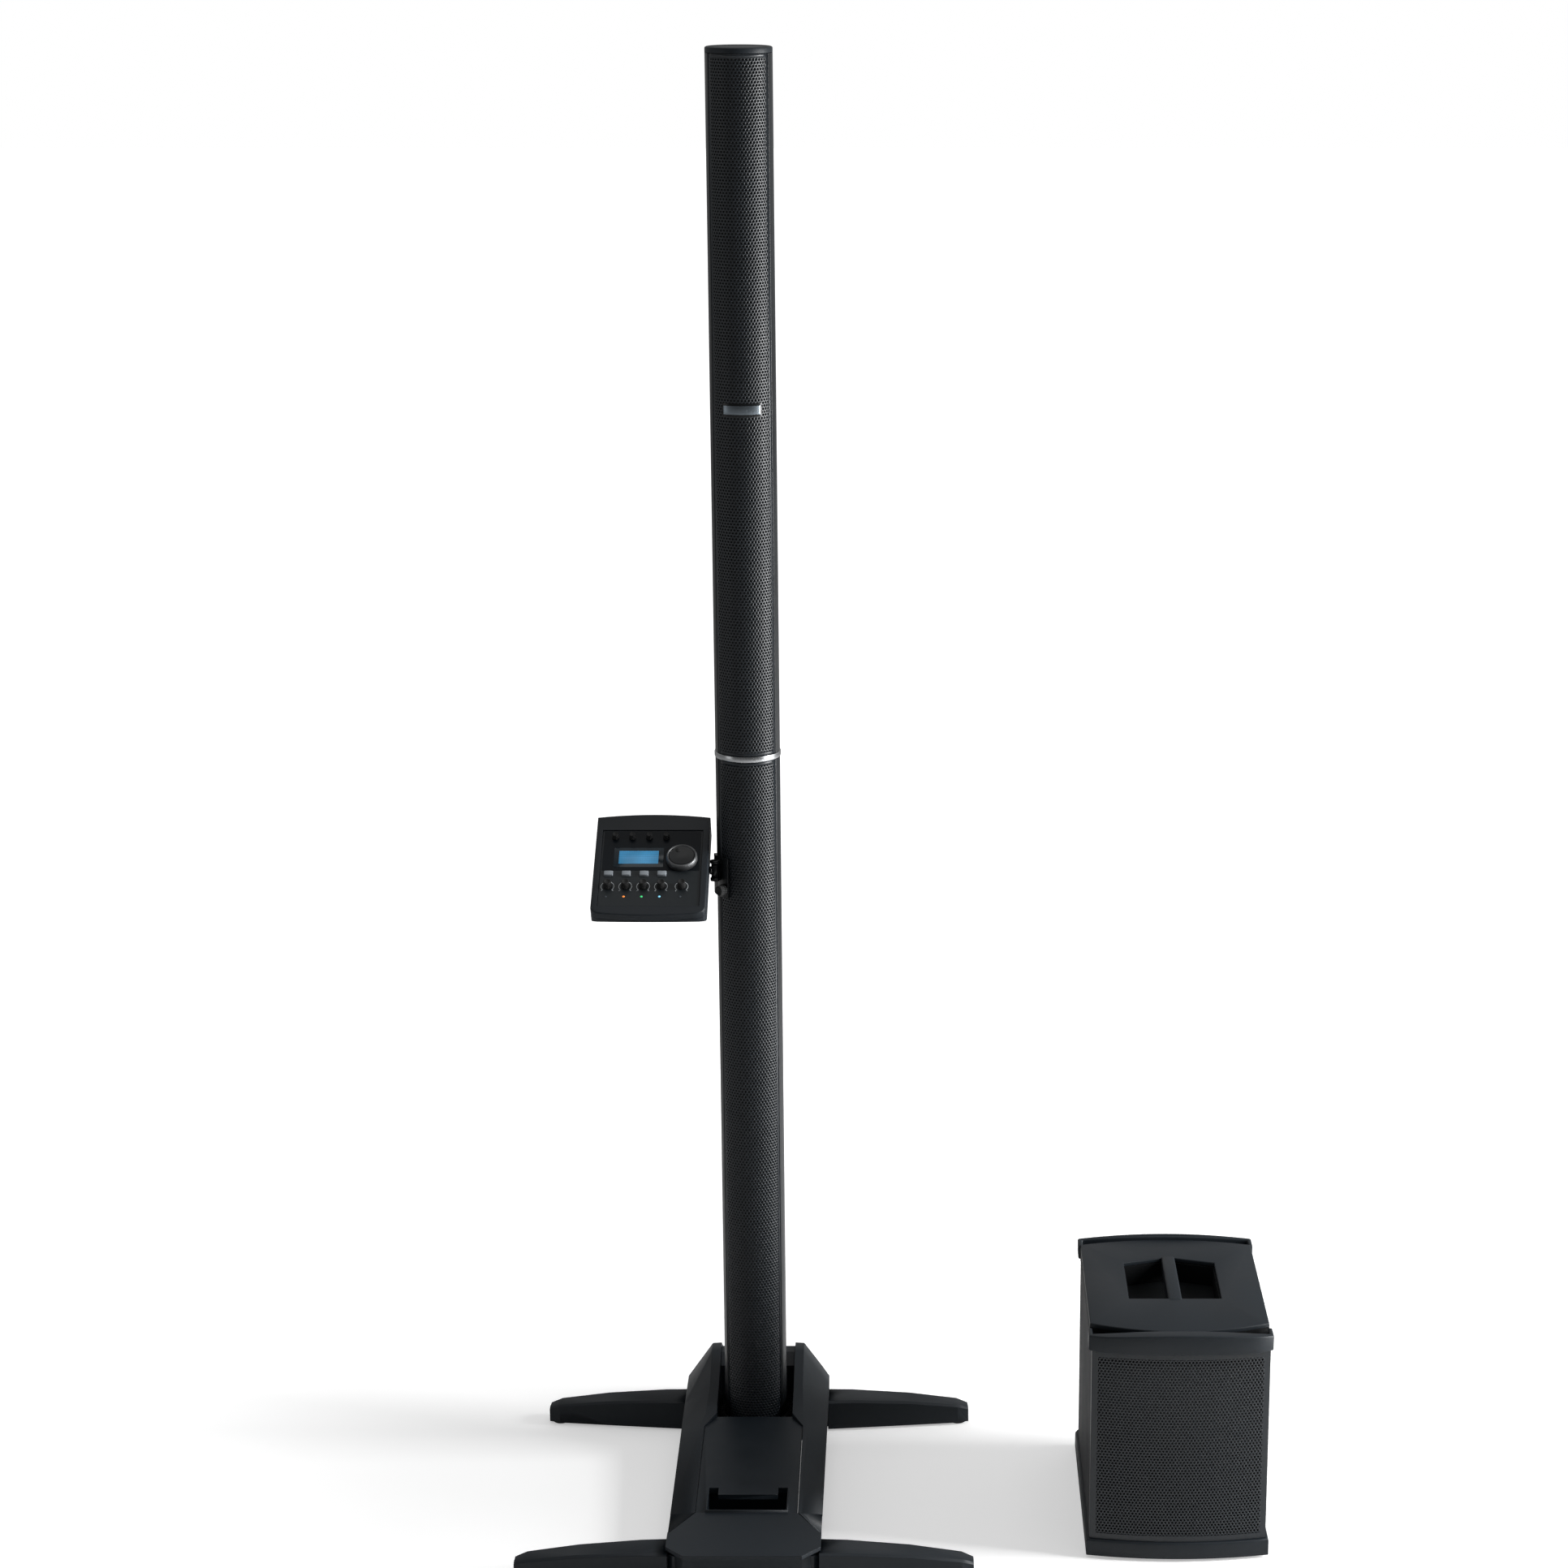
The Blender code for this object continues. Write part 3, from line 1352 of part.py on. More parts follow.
def bass_caps():
    plan = bass_outline(BASS_HALF_WIDTH, BASS_FRONT, BASS_BACK)
    bottom = outline_slab("bass_bottom_cap", plan, BASS_FOOT_HEIGHT, BASS_BOTTOM_CAP, CHARCOAL_PLASTIC)
    inset = BASS_HALF_WIDTH - BASS_FOOT_INSET
    front_row = BASS_FRONT + BASS_BOW + BASS_FOOT_INSET
    for name, x in (("left", -inset), ("right", inset)):
        for end, y in (("front", front_row), ("back", BASS_BACK - BASS_FOOT_INSET)):
            foot = rod(
                f"bass_foot_{name}_{end}",
                BASS_FOOT_RADIUS,
                (BASS_X + x, y, 0),
                (BASS_X + x, y, BASS_FOOT_HEIGHT + 0.004),
                helper=True,
                sides=16,
            )
            join(bottom, foot)
    top_low = BASS_HEIGHT - BASS_TOP_CAP
    top = outline_slab("bass_top_cap", plan, top_low, BASS_HEIGHT, CHARCOAL_PLASTIC)
    pocket = outline_slab(
        "handle_pocket",
        [
            (BASS_X - POCKET_HALF_WIDTH, POCKET_FRONT),
            (BASS_X + POCKET_HALF_WIDTH, POCKET_FRONT),
            (BASS_X + POCKET_HALF_WIDTH - POCKET_TAPER, POCKET_BACK - POCKET_ARCH),
            (BASS_X, POCKET_BACK),
            (BASS_X - POCKET_HALF_WIDTH + POCKET_TAPER, POCKET_BACK - POCKET_ARCH),
        ],
        pocket_low,
        BASS_HEIGHT + 0.02,
        helper=True,
    )
    cup = pocket_block("pocket_cup", POCKET_WALL, top_low + OVERLAP)
    handle = box(
        "handle_bar",
        (BASS_X - HANDLE_WIDTH / 2, POCKET_FRONT - 0.006, BASS_HEIGHT - 0.003 - HANDLE_THICKNESS),
        (BASS_X + HANDLE_WIDTH / 2, POCKET_BACK + 0.006, BASS_HEIGHT - 0.003),
        helper=True,
    )
    join(top, cup)
    cut(top, pocket)
    join(top, handle)


def bass_cabinet():
    low = (BASS_X - cabinet_half, cabinet_front, cabinet_low)
    high = (BASS_X + cabinet_half, cabinet_back, cabinet_top)
    wall = Vector((CABINET_WALL, CABINET_WALL, CABINET_WALL))
    cabinet = box("bass_cabinet", low, high, CABINET_BOARD)
    hollow = box("cabinet_hollow", Vector(low) + wall, Vector(high) - wall, helper=True)
    pocket_room = pocket_block("pocket_room", POCKET_WALL + FIT, cabinet_top + 0.01)
    cut(cabinet, hollow, pocket_room)
    profile = [
        (0, -0.022),
        (WOOFER_RADIUS * 0.28, -0.026),
        (WOOFER_RADIUS * 0.72, -0.004),
        (WOOFER_RADIUS * 0.80, 0),
        (WOOFER_RADIUS, 0),
        (WOOFER_RADIUS, -0.006),
        (WOOFER_HOLE - 0.001, -0.006),
        (WOOFER_HOLE * 0.62, -WOOFER_DEPTH * 0.6),
        (WOOFER_HOLE * 0.62, -WOOFER_DEPTH),
        (0, -WOOFER_DEPTH),
    ]
    for name, height in zip(("lower_woofer", "upper_woofer"), WOOFER_HEIGHTS):
        cut(cabinet, rod(
            name + "_hole",
            WOOFER_HOLE,
            (BASS_X, cabinet_front - 0.02, height),
            (BASS_X, cabinet_front + CABINET_WALL + 0.01, height),
            helper=True,
            sides=32,
        ))
        woofer = turned(name, profile, PAPER, sides=32)
        woofer.location = (BASS_X, cabinet_front - 0.006 - FIT, height)
        woofer.rotation_euler.x = math.pi / 2
    port_place = Vector((BASS_X + PORT_X, cabinet_front, PORT_Z))
    cut(cabinet, rod(
        "port_hole",
        PORT_RADIUS + PORT_WALL + FIT,
        port_place - Vector((0, 0.02, 0)),
        port_place + Vector((0, CABINET_WALL + 0.01, 0)),
        helper=True,
    ))
    port = rod(
        "bass_port",
        PORT_RADIUS + PORT_WALL,
        port_place,
        port_place + Vector((0, PORT_LENGTH, 0)),
        BLACK_PLASTIC,
    )
    cut(port, rod(
        "port_bore",
        PORT_RADIUS,
        port_place - Vector((0, 0.02, 0)),
        port_place + Vector((0, PORT_LENGTH + 0.02, 0)),
        helper=True,
    ))


def bass_grille():
    """A bowed perforated front between the two caps."""
    front = BASS_FRONT + 0.004
    half = cabinet_half
    steps = 10
    outer = []
    for i in range(steps + 1):
        x = -half + 2 * half * i / steps
        outer.append((BASS_X + x, front + BASS_BOW * (x / half) ** 2))
    inner = [(x, y + BASS_GRILLE_WALL) for x, y in outer]
    turn_in = cabinet_front - FIT
    flange = BASS_GRILLE_WALL
    outline = outer + [
        (BASS_X + half, turn_in),
        (BASS_X + half - flange, turn_in),
        (BASS_X + half - flange, inner[-1][1] + 0.0005),
    ] + inner[-2:0:-1] + [
        (BASS_X - half + flange, inner[0][1] + 0.0005),
        (BASS_X - half + flange, turn_in),
        (BASS_X - half, turn_in),
    ]
    smooth(outline_slab("bass_grille", outline, cabinet_low, cabinet_top, GRILLE_STEEL))


def bass_input():
    """The terminal block on the back, with an input and a link socket."""
    low = (BASS_X - INPUT_HALF_WIDTH, cabinet_back + FIT, INPUT_Z - INPUT_HALF_HEIGHT)
    high = (BASS_X + INPUT_HALF_WIDTH, BASS_BACK - INPUT_BACK_GAP, INPUT_Z + INPUT_HALF_HEIGHT)
    plate = box("bass_input_plate", low, high, BLACK_PLASTIC)
    for index, x in enumerate(INPUT_SOCKETS_X):
        cut(plate, rod(
            f"input_cavity_{index}",
            SOCKET_CAVITY,
            (BASS_X + x, high[1] - CAVITY_DEPTH, INPUT_Z),
            (BASS_X + x, high[1] + 0.01, INPUT_Z),
            helper=True,
        ))


def stand():
    chassis()
    legs()
    deck_height = cheeks()
    flange_back = column_socket()
    deck(deck_height)
    nose()
    rear_cover(flange_back)
    connectors()
    amplifier()


def bass_module():
    bass_caps()
    bass_cabinet()
    bass_grille()
    bass_input()


stand()
lower_column()
upper_column()
arm()
mixer()
bass_module()
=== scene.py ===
"""The detailed pieces and finishes of a column loudspeaker system: its stand, column, mixer and bass module."""

import math

import bmesh
import bpy
from bpy.props import FloatProperty, FloatVectorProperty, IntProperty, PointerProperty
from mathutils import Matrix, Vector


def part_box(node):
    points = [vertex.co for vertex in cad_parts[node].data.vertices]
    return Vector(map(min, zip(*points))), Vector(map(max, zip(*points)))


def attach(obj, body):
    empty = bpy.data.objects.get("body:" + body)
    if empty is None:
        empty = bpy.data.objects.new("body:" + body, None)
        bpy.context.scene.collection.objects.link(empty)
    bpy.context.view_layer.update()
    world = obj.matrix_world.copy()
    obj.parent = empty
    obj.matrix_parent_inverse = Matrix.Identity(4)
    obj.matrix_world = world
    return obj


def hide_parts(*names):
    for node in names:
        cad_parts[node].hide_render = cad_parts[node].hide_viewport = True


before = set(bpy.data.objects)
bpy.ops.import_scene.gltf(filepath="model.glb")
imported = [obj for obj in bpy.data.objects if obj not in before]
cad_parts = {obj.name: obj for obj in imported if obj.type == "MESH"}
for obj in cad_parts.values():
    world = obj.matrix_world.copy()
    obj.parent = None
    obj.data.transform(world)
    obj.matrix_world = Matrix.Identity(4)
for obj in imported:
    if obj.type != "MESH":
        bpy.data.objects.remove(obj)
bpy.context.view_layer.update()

bl_info = {
    "name": "Column Loudspeaker System",
    "version": (1, 0, 0),
    "blender": (4, 5, 0),
    "location": "3D View > Sidebar > Column System",
    "description": "Builds the detailed pieces and finishes of a column loudspeaker system",
    "category": "Object",
}

# Places taken from the CAD, in metres
COLUMN_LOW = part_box("lower_column_grille")[0].z
JOINT_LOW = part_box("lower_column_grille")[1].z
JOINT_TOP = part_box("upper_column_grille")[0].z
COLUMN_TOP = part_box("top_cap")[1].z
GRILLE_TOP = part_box("upper_column_grille")[1].z
COLUMN_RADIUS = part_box("upper_column_shell")[1].x
GRILLE_RADIUS = COLUMN_RADIUS - 0.0005
RING_LOW, RING_TOP = (corner.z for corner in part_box("joint_ring"))
RING_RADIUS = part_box("joint_ring")[1].x
BADGE_LOW, BADGE_TOP = (corner.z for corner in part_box("badge_plate"))
STAND_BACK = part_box("connector_plate")[1].y
BASS_LOW, BASS_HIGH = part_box("bass_bottom_cap")[0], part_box("bass_top_cap")[1]
BASS_X = (BASS_LOW.x + BASS_HIGH.x) / 2
BASS_HALF = (BASS_HIGH.x - BASS_LOW.x) / 2
CABINET_LOW, CABINET_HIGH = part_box("bass_cabinet")
CABINET_HALF = (CABINET_HIGH.x - CABINET_LOW.x) / 2
BASS_BOW = 0.014
POCKET_HALF = 0.068
POCKET_FRONT, POCKET_BACK = -0.230, -0.074
POCKET_FLOOR = BASS_HIGH.z - 0.044
POCKET_CORNER = POCKET_BACK - 0.022
MIXER_PLACE = Matrix.Translation((-0.140994, -0.060026, 0.962971)) @ Matrix.Rotation(math.radians(30), 4, "X")
MIXER_HALF = 0.0835
MIXER_SIDE = 0.0965
MIXER_BOW = 0.006
MIXER_DEPTH = 0.045
MIXER_SPLIT = -0.0120  # where the bezel meets the lower case
UNDERCUT_EDGE = (0, -0.1035, -0.014)  # the sloped cut under the case's front passes through this point
UNDERCUT_SLOPE = (0, -0.658, -0.753)
PANEL_TOP = -0.0015
LEVEL_X = (-0.061, -0.035, -0.009, 0.017, 0.047)
LEVEL_Y = -0.044
TRIM_X = (-0.055, -0.030, -0.005, 0.020)
TRIM_Y = 0.055
BUTTON_X = LEVEL_X[:4]
BUTTON_Y = -0.019
DIAL = (0.045, 0.009)
SCREEN = (-0.0186, 0.0145)
LEGS = {
    "rear_right": ((0.088, 0.083), 4.0),
    "rear_left": ((-0.088, 0.083), 176.0),
    "front_right": ((0.088, -0.425), 1.5),
    "front_left": ((-0.088, -0.425), 178.5),
}
FOOT_FROM_PIVOT = 0.226


# ---------------------------------------------------------------- settings


def linear(colour):
    """A six-digit sRGB hex colour as linear red, green and blue."""
    shares = [int(colour[i:i + 2], 16) / 255 for i in (1, 3, 5)]
    return [share / 12.92 if share <= 0.04045 else ((share + 0.055) / 1.055) ** 2.4 for share in shares]


def size(name, description, default):
    return FloatProperty(name=name, description=description, default=default, min=0.0, precision=4, unit="LENGTH")


def colour(name, description, default):
    return FloatVectorProperty(
        name=name, description=description, default=linear(default), min=0.0, max=1.0, size=3, subtype="COLOR"
    )


class FinishColours(bpy.types.PropertyGroup):
    """Colours of the main finishes."""

    aluminium: colour("Anodised aluminium", "Dye of the column's back shells", "#15191C")
    steel: colour("Grille steel", "Powder coat of the perforated fronts", "#10171D")
    plastic: colour("Moulded plastic", "Covers, legs and caps", "#12191F")
    trim: colour("Trim", "Black trim and control panel", "#0B0D0F")
    bright: colour("Bright metal", "Joint ring and dial ring", "#B4B6B8")
    badge: colour("Badge", "Brushed plate on the column", "#7C858C")
    screen: colour("Screen", "Backlight of the display", "#3A8CBC")
    buttons: colour("Buttons", "Light rubber of the push buttons", "#8E959B")


class ColumnSizes(bpy.types.PropertyGroup):
    """Sizes of the column's details."""

    pitch: size("Hole pitch", "Spacing of the holes in the perforated fronts", 0.0050)
    hole: size("Hole width", "Width of one hole across its flats", 0.0027)
    sheet: size("Sheet thickness", "Thickness of the perforated steel", 0.0010)
    margin: size("Plain margin", "Unperforated edge round each front", 0.0050)
    ring_edge: size("Ring edge", "Rounding of the joint ring", 0.0018)


class StandSizes(bpy.types.PropertyGroup):
    """Sizes of the stand's details."""

    pad_radius: size("Pad radius", "Rubber pad under each leg", 0.0125)
    screw_radius: size("Screw radius", "Head of the screws in the covers", 0.0032)
    screw_depth: size("Screw recess", "How deep the screw's socket is", 0.0014)


class MixerSizes(bpy.types.PropertyGroup):
    """Sizes of the mixer's details."""

    edge: size("Case edge", "Rounding of the case's lower rim", 0.0045)
    rim: size("Bezel edge", "Rounding of the bezel", 0.0020)
    parting: size("Parting line", "Gap between the bezel and the case", 0.0008)
    knob_radius: size("Knob radius", "Level knobs", 0.0064)
    knob_height: size("Knob height", "Level knobs", 0.0110)
    flutes: IntProperty(name="Flutes", description="Grip grooves round a level knob", default=14, min=6, max=40)


class BassSizes(bpy.types.PropertyGroup):
    """Sizes of the bass module's details."""

    lip: size("Lip depth", "How far the front and rear lips reach round the sides", 0.030)
    top_drop: size("Top drop", "How far the top lies under the lips", 0.0050)
    groove: size("Groove depth", "How deep the grooves behind the lips are", 0.0130)
    lip_fall: size("Lip fall", "How far the front lip's top slopes down to the groove", 0.0040)
    edge: size("Edge", "Rounding of the caps", 0.0030)


class StageSettings(bpy.types.PropertyGroup):
    """Camera and lights."""

    lens: FloatProperty(name="Lens", description="Focal length of the camera", default=79.9, min=1.0, unit="CAMERA")
    key: FloatProperty(name="Key light", description="Power of the large light on the right", default=230.0, min=0.0)
    fill: FloatProperty(name="Fill light", description="Power of the light on the left", default=9.0, min=0.0)
    top: FloatProperty(name="Top light", description="Power of the light overhead", default=24.0, min=0.0)


SETTINGS = {
    "column_colours": FinishColours,
    "column_sizes": ColumnSizes,
    "column_stand": StandSizes,
    "column_mixer": MixerSizes,
    "column_bass": BassSizes,
    "column_stage": StageSettings,
}


# ---------------------------------------------------------------- shapes


def spun(profile, steps=48, closed=False):
    """A solid turned about Z from points of radius and height. A closed profile makes a ring."""
    shape = bmesh.new()
    points = [shape.verts.new((radius, 0, height)) for radius, height in profile]
    ends = points[1:] + (points[:1] if closed else [])
    lines = [shape.edges.new(pair) for pair in zip(points, ends)]
    bmesh.ops.spin(
        shape, geom=points + lines, cent=(0, 0, 0), axis=(0, 0, 1), angle=2 * math.pi, steps=steps, use_merge=True
    )
    bmesh.ops.remove_doubles(shape, verts=shape.verts, dist=1e-6)
    bmesh.ops.recalc_face_normals(shape, faces=shape.faces)
    return shape


def raise_faces(shape, height):
    """Gives the flat faces of a shape a height along Z, as a closed solid."""
    grown = bmesh.ops.extrude_face_region(shape, geom=shape.faces[:])
    lifted = [item for item in grown["geom"] if isinstance(item, bmesh.types.BMVert)]
    bmesh.ops.translate(shape, verts=lifted, vec=(0, 0, height))
    bmesh.ops.recalc_face_normals(shape, faces=shape.faces)
    return shape


def slab(outline, low, high, openings=()):
    """A solid over a plan outline, with an opening through it for each inner outline."""
    shape = bmesh.new()
    edges = []
    for loop in (outline, *openings):
        corners = [shape.verts.new((x, y, low)) for x, y in loop]
        edges += [shape.edges.new(pair) for pair in zip(corners, corners[1:] + corners[:1])]
    bmesh.ops.triangle_fill(shape, edges=edges, use_beauty=True)
    if not openings:
        bmesh.ops.dissolve_faces(shape, faces=shape.faces[:])
    return raise_faces(shape, high - low)


def block(low, high, edge=0.0, segments=2):
    """A box between two corners, with rounded edges."""
    low, high = Vector(low), Vector(high)
    shape = bmesh.new()
    bmesh.ops.create_cube(shape, size=1.0)
    bmesh.ops.scale(shape, vec=high - low, verts=shape.verts)
    bmesh.ops.translate(shape, vec=(low + high) / 2, verts=shape.verts)
    return rounded(shape, edge, segments) if edge else shape


def rounded(shape, offset, segments=3, choose=None, angle=25.0):
    """Rounds the edges that turn by more than the angle, or those of them that choose picks."""
    edges = [
        edge for edge in shape.edges
        if edge.is_manifold and edge.calc_face_angle(0) > math.radians(angle) and (choose is None or choose(edge))
    ]
    bmesh.ops.bevel(
        shape, geom=edges, offset=offset, offset_type="OFFSET", segments=segments, profile=0.5,
        affect="EDGES", material=-1, clamp_overlap=True,
    )
    return shape


def at_height(height):
    """Picks the edges that lie at a height."""
    return lambda edge: all(abs(end.co.z - height) < 1e-5 for end in edge.verts)


def arc_wall(inner, outer, start, end, low, high, steps=40):
    """A solid wall that follows a circle about Z. Angles are in degrees from the front, towards +X."""
    shape = bmesh.new()
    first = math.radians(start)
    near, far = (shape.verts.new((math.sin(first) * r, -math.cos(first) * r, low)) for r in (inner, outer))
    line = shape.edges.new((near, far))
    bmesh.ops.spin(
        shape, geom=[near, far, line], cent=(0, 0, 0), axis=(0, 0, 1), angle=math.radians(end - start),
        steps=steps, use_merge=False,
    )
    bmesh.ops.remove_doubles(shape, verts=shape.verts, dist=1e-7)
    return raise_faces(shape, high - low)


def placed(shape, matrix):
    bmesh.ops.transform(shape, matrix=matrix, verts=shape.verts)
    return shape


def doubled(shape, count, step):
    """Repeats a shape along a step until there are at least count of it."""
    made = 1
    while made < count:
        copy = bmesh.ops.duplicate(shape, geom=shape.verts[:] + shape.edges[:] + shape.faces[:])
        corners = [item for item in copy["geom"] if isinstance(item, bmesh.types.BMVert)]
        bmesh.ops.translate(shape, verts=corners, vec=Vector(step) * made)
        made *= 2


def perforated(width, height, pitch, hole):
    """A flat sheet in X and Z, from its middle and its foot, with a hole in each of its six-sided cells."""
    shape = bmesh.new()
    bmesh.ops.create_circle(shape, cap_ends=True, radius=pitch / math.sqrt(3), segments=6)
    cell = shape.faces[:]
    bmesh.ops.inset_individual(shape, faces=cell, thickness=(pitch - hole) / 2)
    bmesh.ops.delete(shape, geom=cell, context="FACES_ONLY")
    row = pitch * math.sqrt(3) / 2
    doubled(shape, math.ceil(width / pitch) + 2, (pitch, 0, 0))
    second = bmesh.ops.duplicate(shape, geom=shape.verts[:] + shape.edges[:] + shape.faces[:])
    corners = [item for item in second["geom"] if isinstance(item, bmesh.types.BMVert)]
    bmesh.ops.translate(shape, verts=corners, vec=(pitch / 2, row, 0))
    doubled(shape, math.ceil(height / row / 2) + 1, (0, 2 * row, 0))
    bmesh.ops.remove_doubles(shape, verts=shape.verts, dist=pitch / 100)
    bmesh.ops.translate(shape, verts=shape.verts, vec=(-width / 2 - pitch, -row, 0))
    for place, normal in (
        ((-width / 2, 0, 0), (-1, 0, 0)), ((width / 2, 0, 0), (1, 0, 0)),
        ((0, 0, 0), (0, -1, 0)), ((0, height, 0), (0, 1, 0)),
    ):
        bmesh.ops.bisect_plane(
            shape, geom=shape.verts[:] + shape.edges[:] + shape.faces[:], plane_co=place, plane_no=normal,
            clear_outer=True,
        )
    return placed(shape, Matrix.Rotation(math.pi / 2, 4, "X"))


def strip(left, right, low, high, steps):
    """A flat sheet in X and Z, cut into steps across so that it can bend."""
    shape = bmesh.new()
    bmesh.ops.create_grid(shape, x_segments=steps, y_segments=1, size=0.5)
    bmesh.ops.scale(shape, vec=(right - left, high - low, 1), verts=shape.verts)
    bmesh.ops.translate(shape, vec=((left + right) / 2, (low + high) / 2, 0), verts=shape.verts)
    return placed(shape, Matrix.Rotation(math.pi / 2, 4, "X"))


def bent(shape, curve):
    """Moves each point of a flat sheet in X and Z to where curve puts its X."""
    for corner in shape.verts:
        corner.co.xy = curve(corner.co.x)
    return shape


def round_column(radius):
    return lambda along: (radius * math.sin(along / radius), -radius * math.cos(along / radius))


def bass_front(front):
    return lambda along: (BASS_X + along, front + BASS_BOW * (along / CABINET_HALF) ** 2)


def fluted(radius, height, flutes, groove=0.93):
    """A knob about Z with grip grooves, a rounded top edge and a shallow dish."""
    shape = bmesh.new()
    rim = bmesh.ops.create_circle(shape, cap_ends=True, radius=radius, segments=flutes * 4)["verts"]
    for corner in rim:
        corner.co *= groove if corner.index % 4 == 0 else 1.0
    top = shape.faces[:]
    for rise, share in ((0.20, 1.0), (0.04, 0.94), (0.62, 0.93), (0.10, 0.93), (0.04, 0.80), (-0.05, 0.75)):
        grown = bmesh.ops.extrude_face_region(shape, geom=top)
        corners = [item for item in grown["geom"] if isinstance(item, bmesh.types.BMVert)]
        top = [item for item in grown["geom"] if isinstance(item, bmesh.types.BMFace)]
        bmesh.ops.translate(shape, verts=corners, vec=(0, 0, rise * height))
        bmesh.ops.scale(shape, vec=(share, share, 1), verts=corners)
    bmesh.ops.recalc_face_normals(shape, faces=shape.faces)
    return shape


# ---------------------------------------------------------------- pieces


def finish_of(name):
    return bpy.data.materials[name]


def piece(name, shape, finish, body, smooth=35.0, replaces=()):
    """Makes a finished piece from a shape, riding on a body."""
    mesh = bpy.data.meshes.new(name)
    shape.to_mesh(mesh)
    shape.free()
    mesh.materials.append(finish_of(finish))
    mesh.shade_smooth()
    mesh.set_sharp_from_angle(angle=math.radians(smooth))
    thing = bpy.data.objects.new(name, mesh)
    bpy.context.scene.collection.objects.link(thing)
    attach(thing, body)
    if replaces:
        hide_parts(*replaces)
    return thing


def walled(thing, thickness, offset=-1.0):
    """Gives a sheet its thickness."""
    wall = thing.modifiers.new("wall", "SOLIDIFY")
    wall.thickness = thickness
    wall.offset = offset
    wall.use_even_offset = False
    return thing


def facing(shape, direction):
    """Turns a sheet's faces to one side."""
    total = Vector()
    for face in shape.faces:
        total += face.normal * face.calc_area()
    if total.dot(Vector(direction)) < 0:
        bmesh.ops.reverse_faces(shape, faces=shape.faces)
    return shape


def carried(node, finish, name, body, smooth=35.0):
    """A merged copy of a CAD node, with smooth curves, that stands for it."""
    shape = bmesh.new()
    shape.from_mesh(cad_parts[node].data)
    bmesh.ops.remove_doubles(shape, verts=shape.verts, dist=1e-6)
    made = piece(name, shape, finish, body, smooth, (node,))
    if "custom_normal" in made.data.attributes:
        made.data.attributes.remove(made.data.attributes["custom_normal"])
    while len(made.data.materials) > 1:
        made.data.materials.pop()
    return made


def dressed(nodes, finish):
    """Gives CAD nodes a better material and leaves their shape."""
    for node in nodes:
        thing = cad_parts[node]
        for slot in thing.material_slots:
            slot.material = finish_of(finish)
        if not thing.material_slots:
            thing.data.materials.append(finish_of(finish))


def screws(name, places, body, direction, finish="nickel_plated_steel"):
    """Round-headed screws with a round sunk socket, one piece each."""
    stand = bpy.context.scene.column_stand
    radius, depth = stand.screw_radius, stand.screw_depth
    turn = Vector((0, 0, 1)).rotation_difference(Vector(direction)).to_matrix().to_4x4()
    for index, place in enumerate(places, 1):
        shape = bmesh.new()
        head = bmesh.ops.create_circle(shape, cap_ends=True, radius=radius, segments=24)["verts"]
        top = shape.faces[:]
        bmesh.ops.translate(shape, verts=head, vec=(0, 0, -0.0010))
        for rise, share in ((0.0016, 1.0), (0.0004, 0.86), (0.0, 0.60), (-depth, 0.97)):
            grown = bmesh.ops.extrude_face_region(shape, geom=top)
            corners = [item for item in grown["geom"] if isinstance(item, bmesh.types.BMVert)]
            top = [item for item in grown["geom"] if isinstance(item, bmesh.types.BMFace)]
            bmesh.ops.translate(shape, verts=corners, vec=(0, 0, rise))
            bmesh.ops.scale(shape, vec=(share, share, 1), verts=corners)
        bmesh.ops.recalc_face_normals(shape, faces=shape.faces)
        piece(f"{name}_{index}", placed(shape, Matrix.Translation(place) @ turn), finish, body)


# ---------------------------------------------------------------- finishes


def add_node(tree, kind, inputs=None, **settings):
    """Adds a node. An input is a value or the output that feeds it."""
    made = tree.nodes.new(kind)
    for key, value in settings.items():
        setattr(made, key, value)
    for key, value in (inputs or {}).items():
        if isinstance(value, bpy.types.NodeSocket):
            tree.links.new(value, made.inputs[key])
        else:
            made.inputs[key].default_value = value
    return made


def new_finish(name, **constants):
    """A material's nodes and its shader. Constants go on the shader's own sockets."""
    finish = bpy.data.materials.get(name) or bpy.data.materials.new(name)
    finish.use_nodes = True
    tree = finish.node_tree
    tree.nodes.clear()
    shader = add_node(tree, "ShaderNodeBsdfPrincipled", {key.replace("_", " "): v for key, v in constants.items()})
    add_node(tree, "ShaderNodeOutputMaterial", {"Surface": shader.outputs["BSDF"]})
    return tree, shader


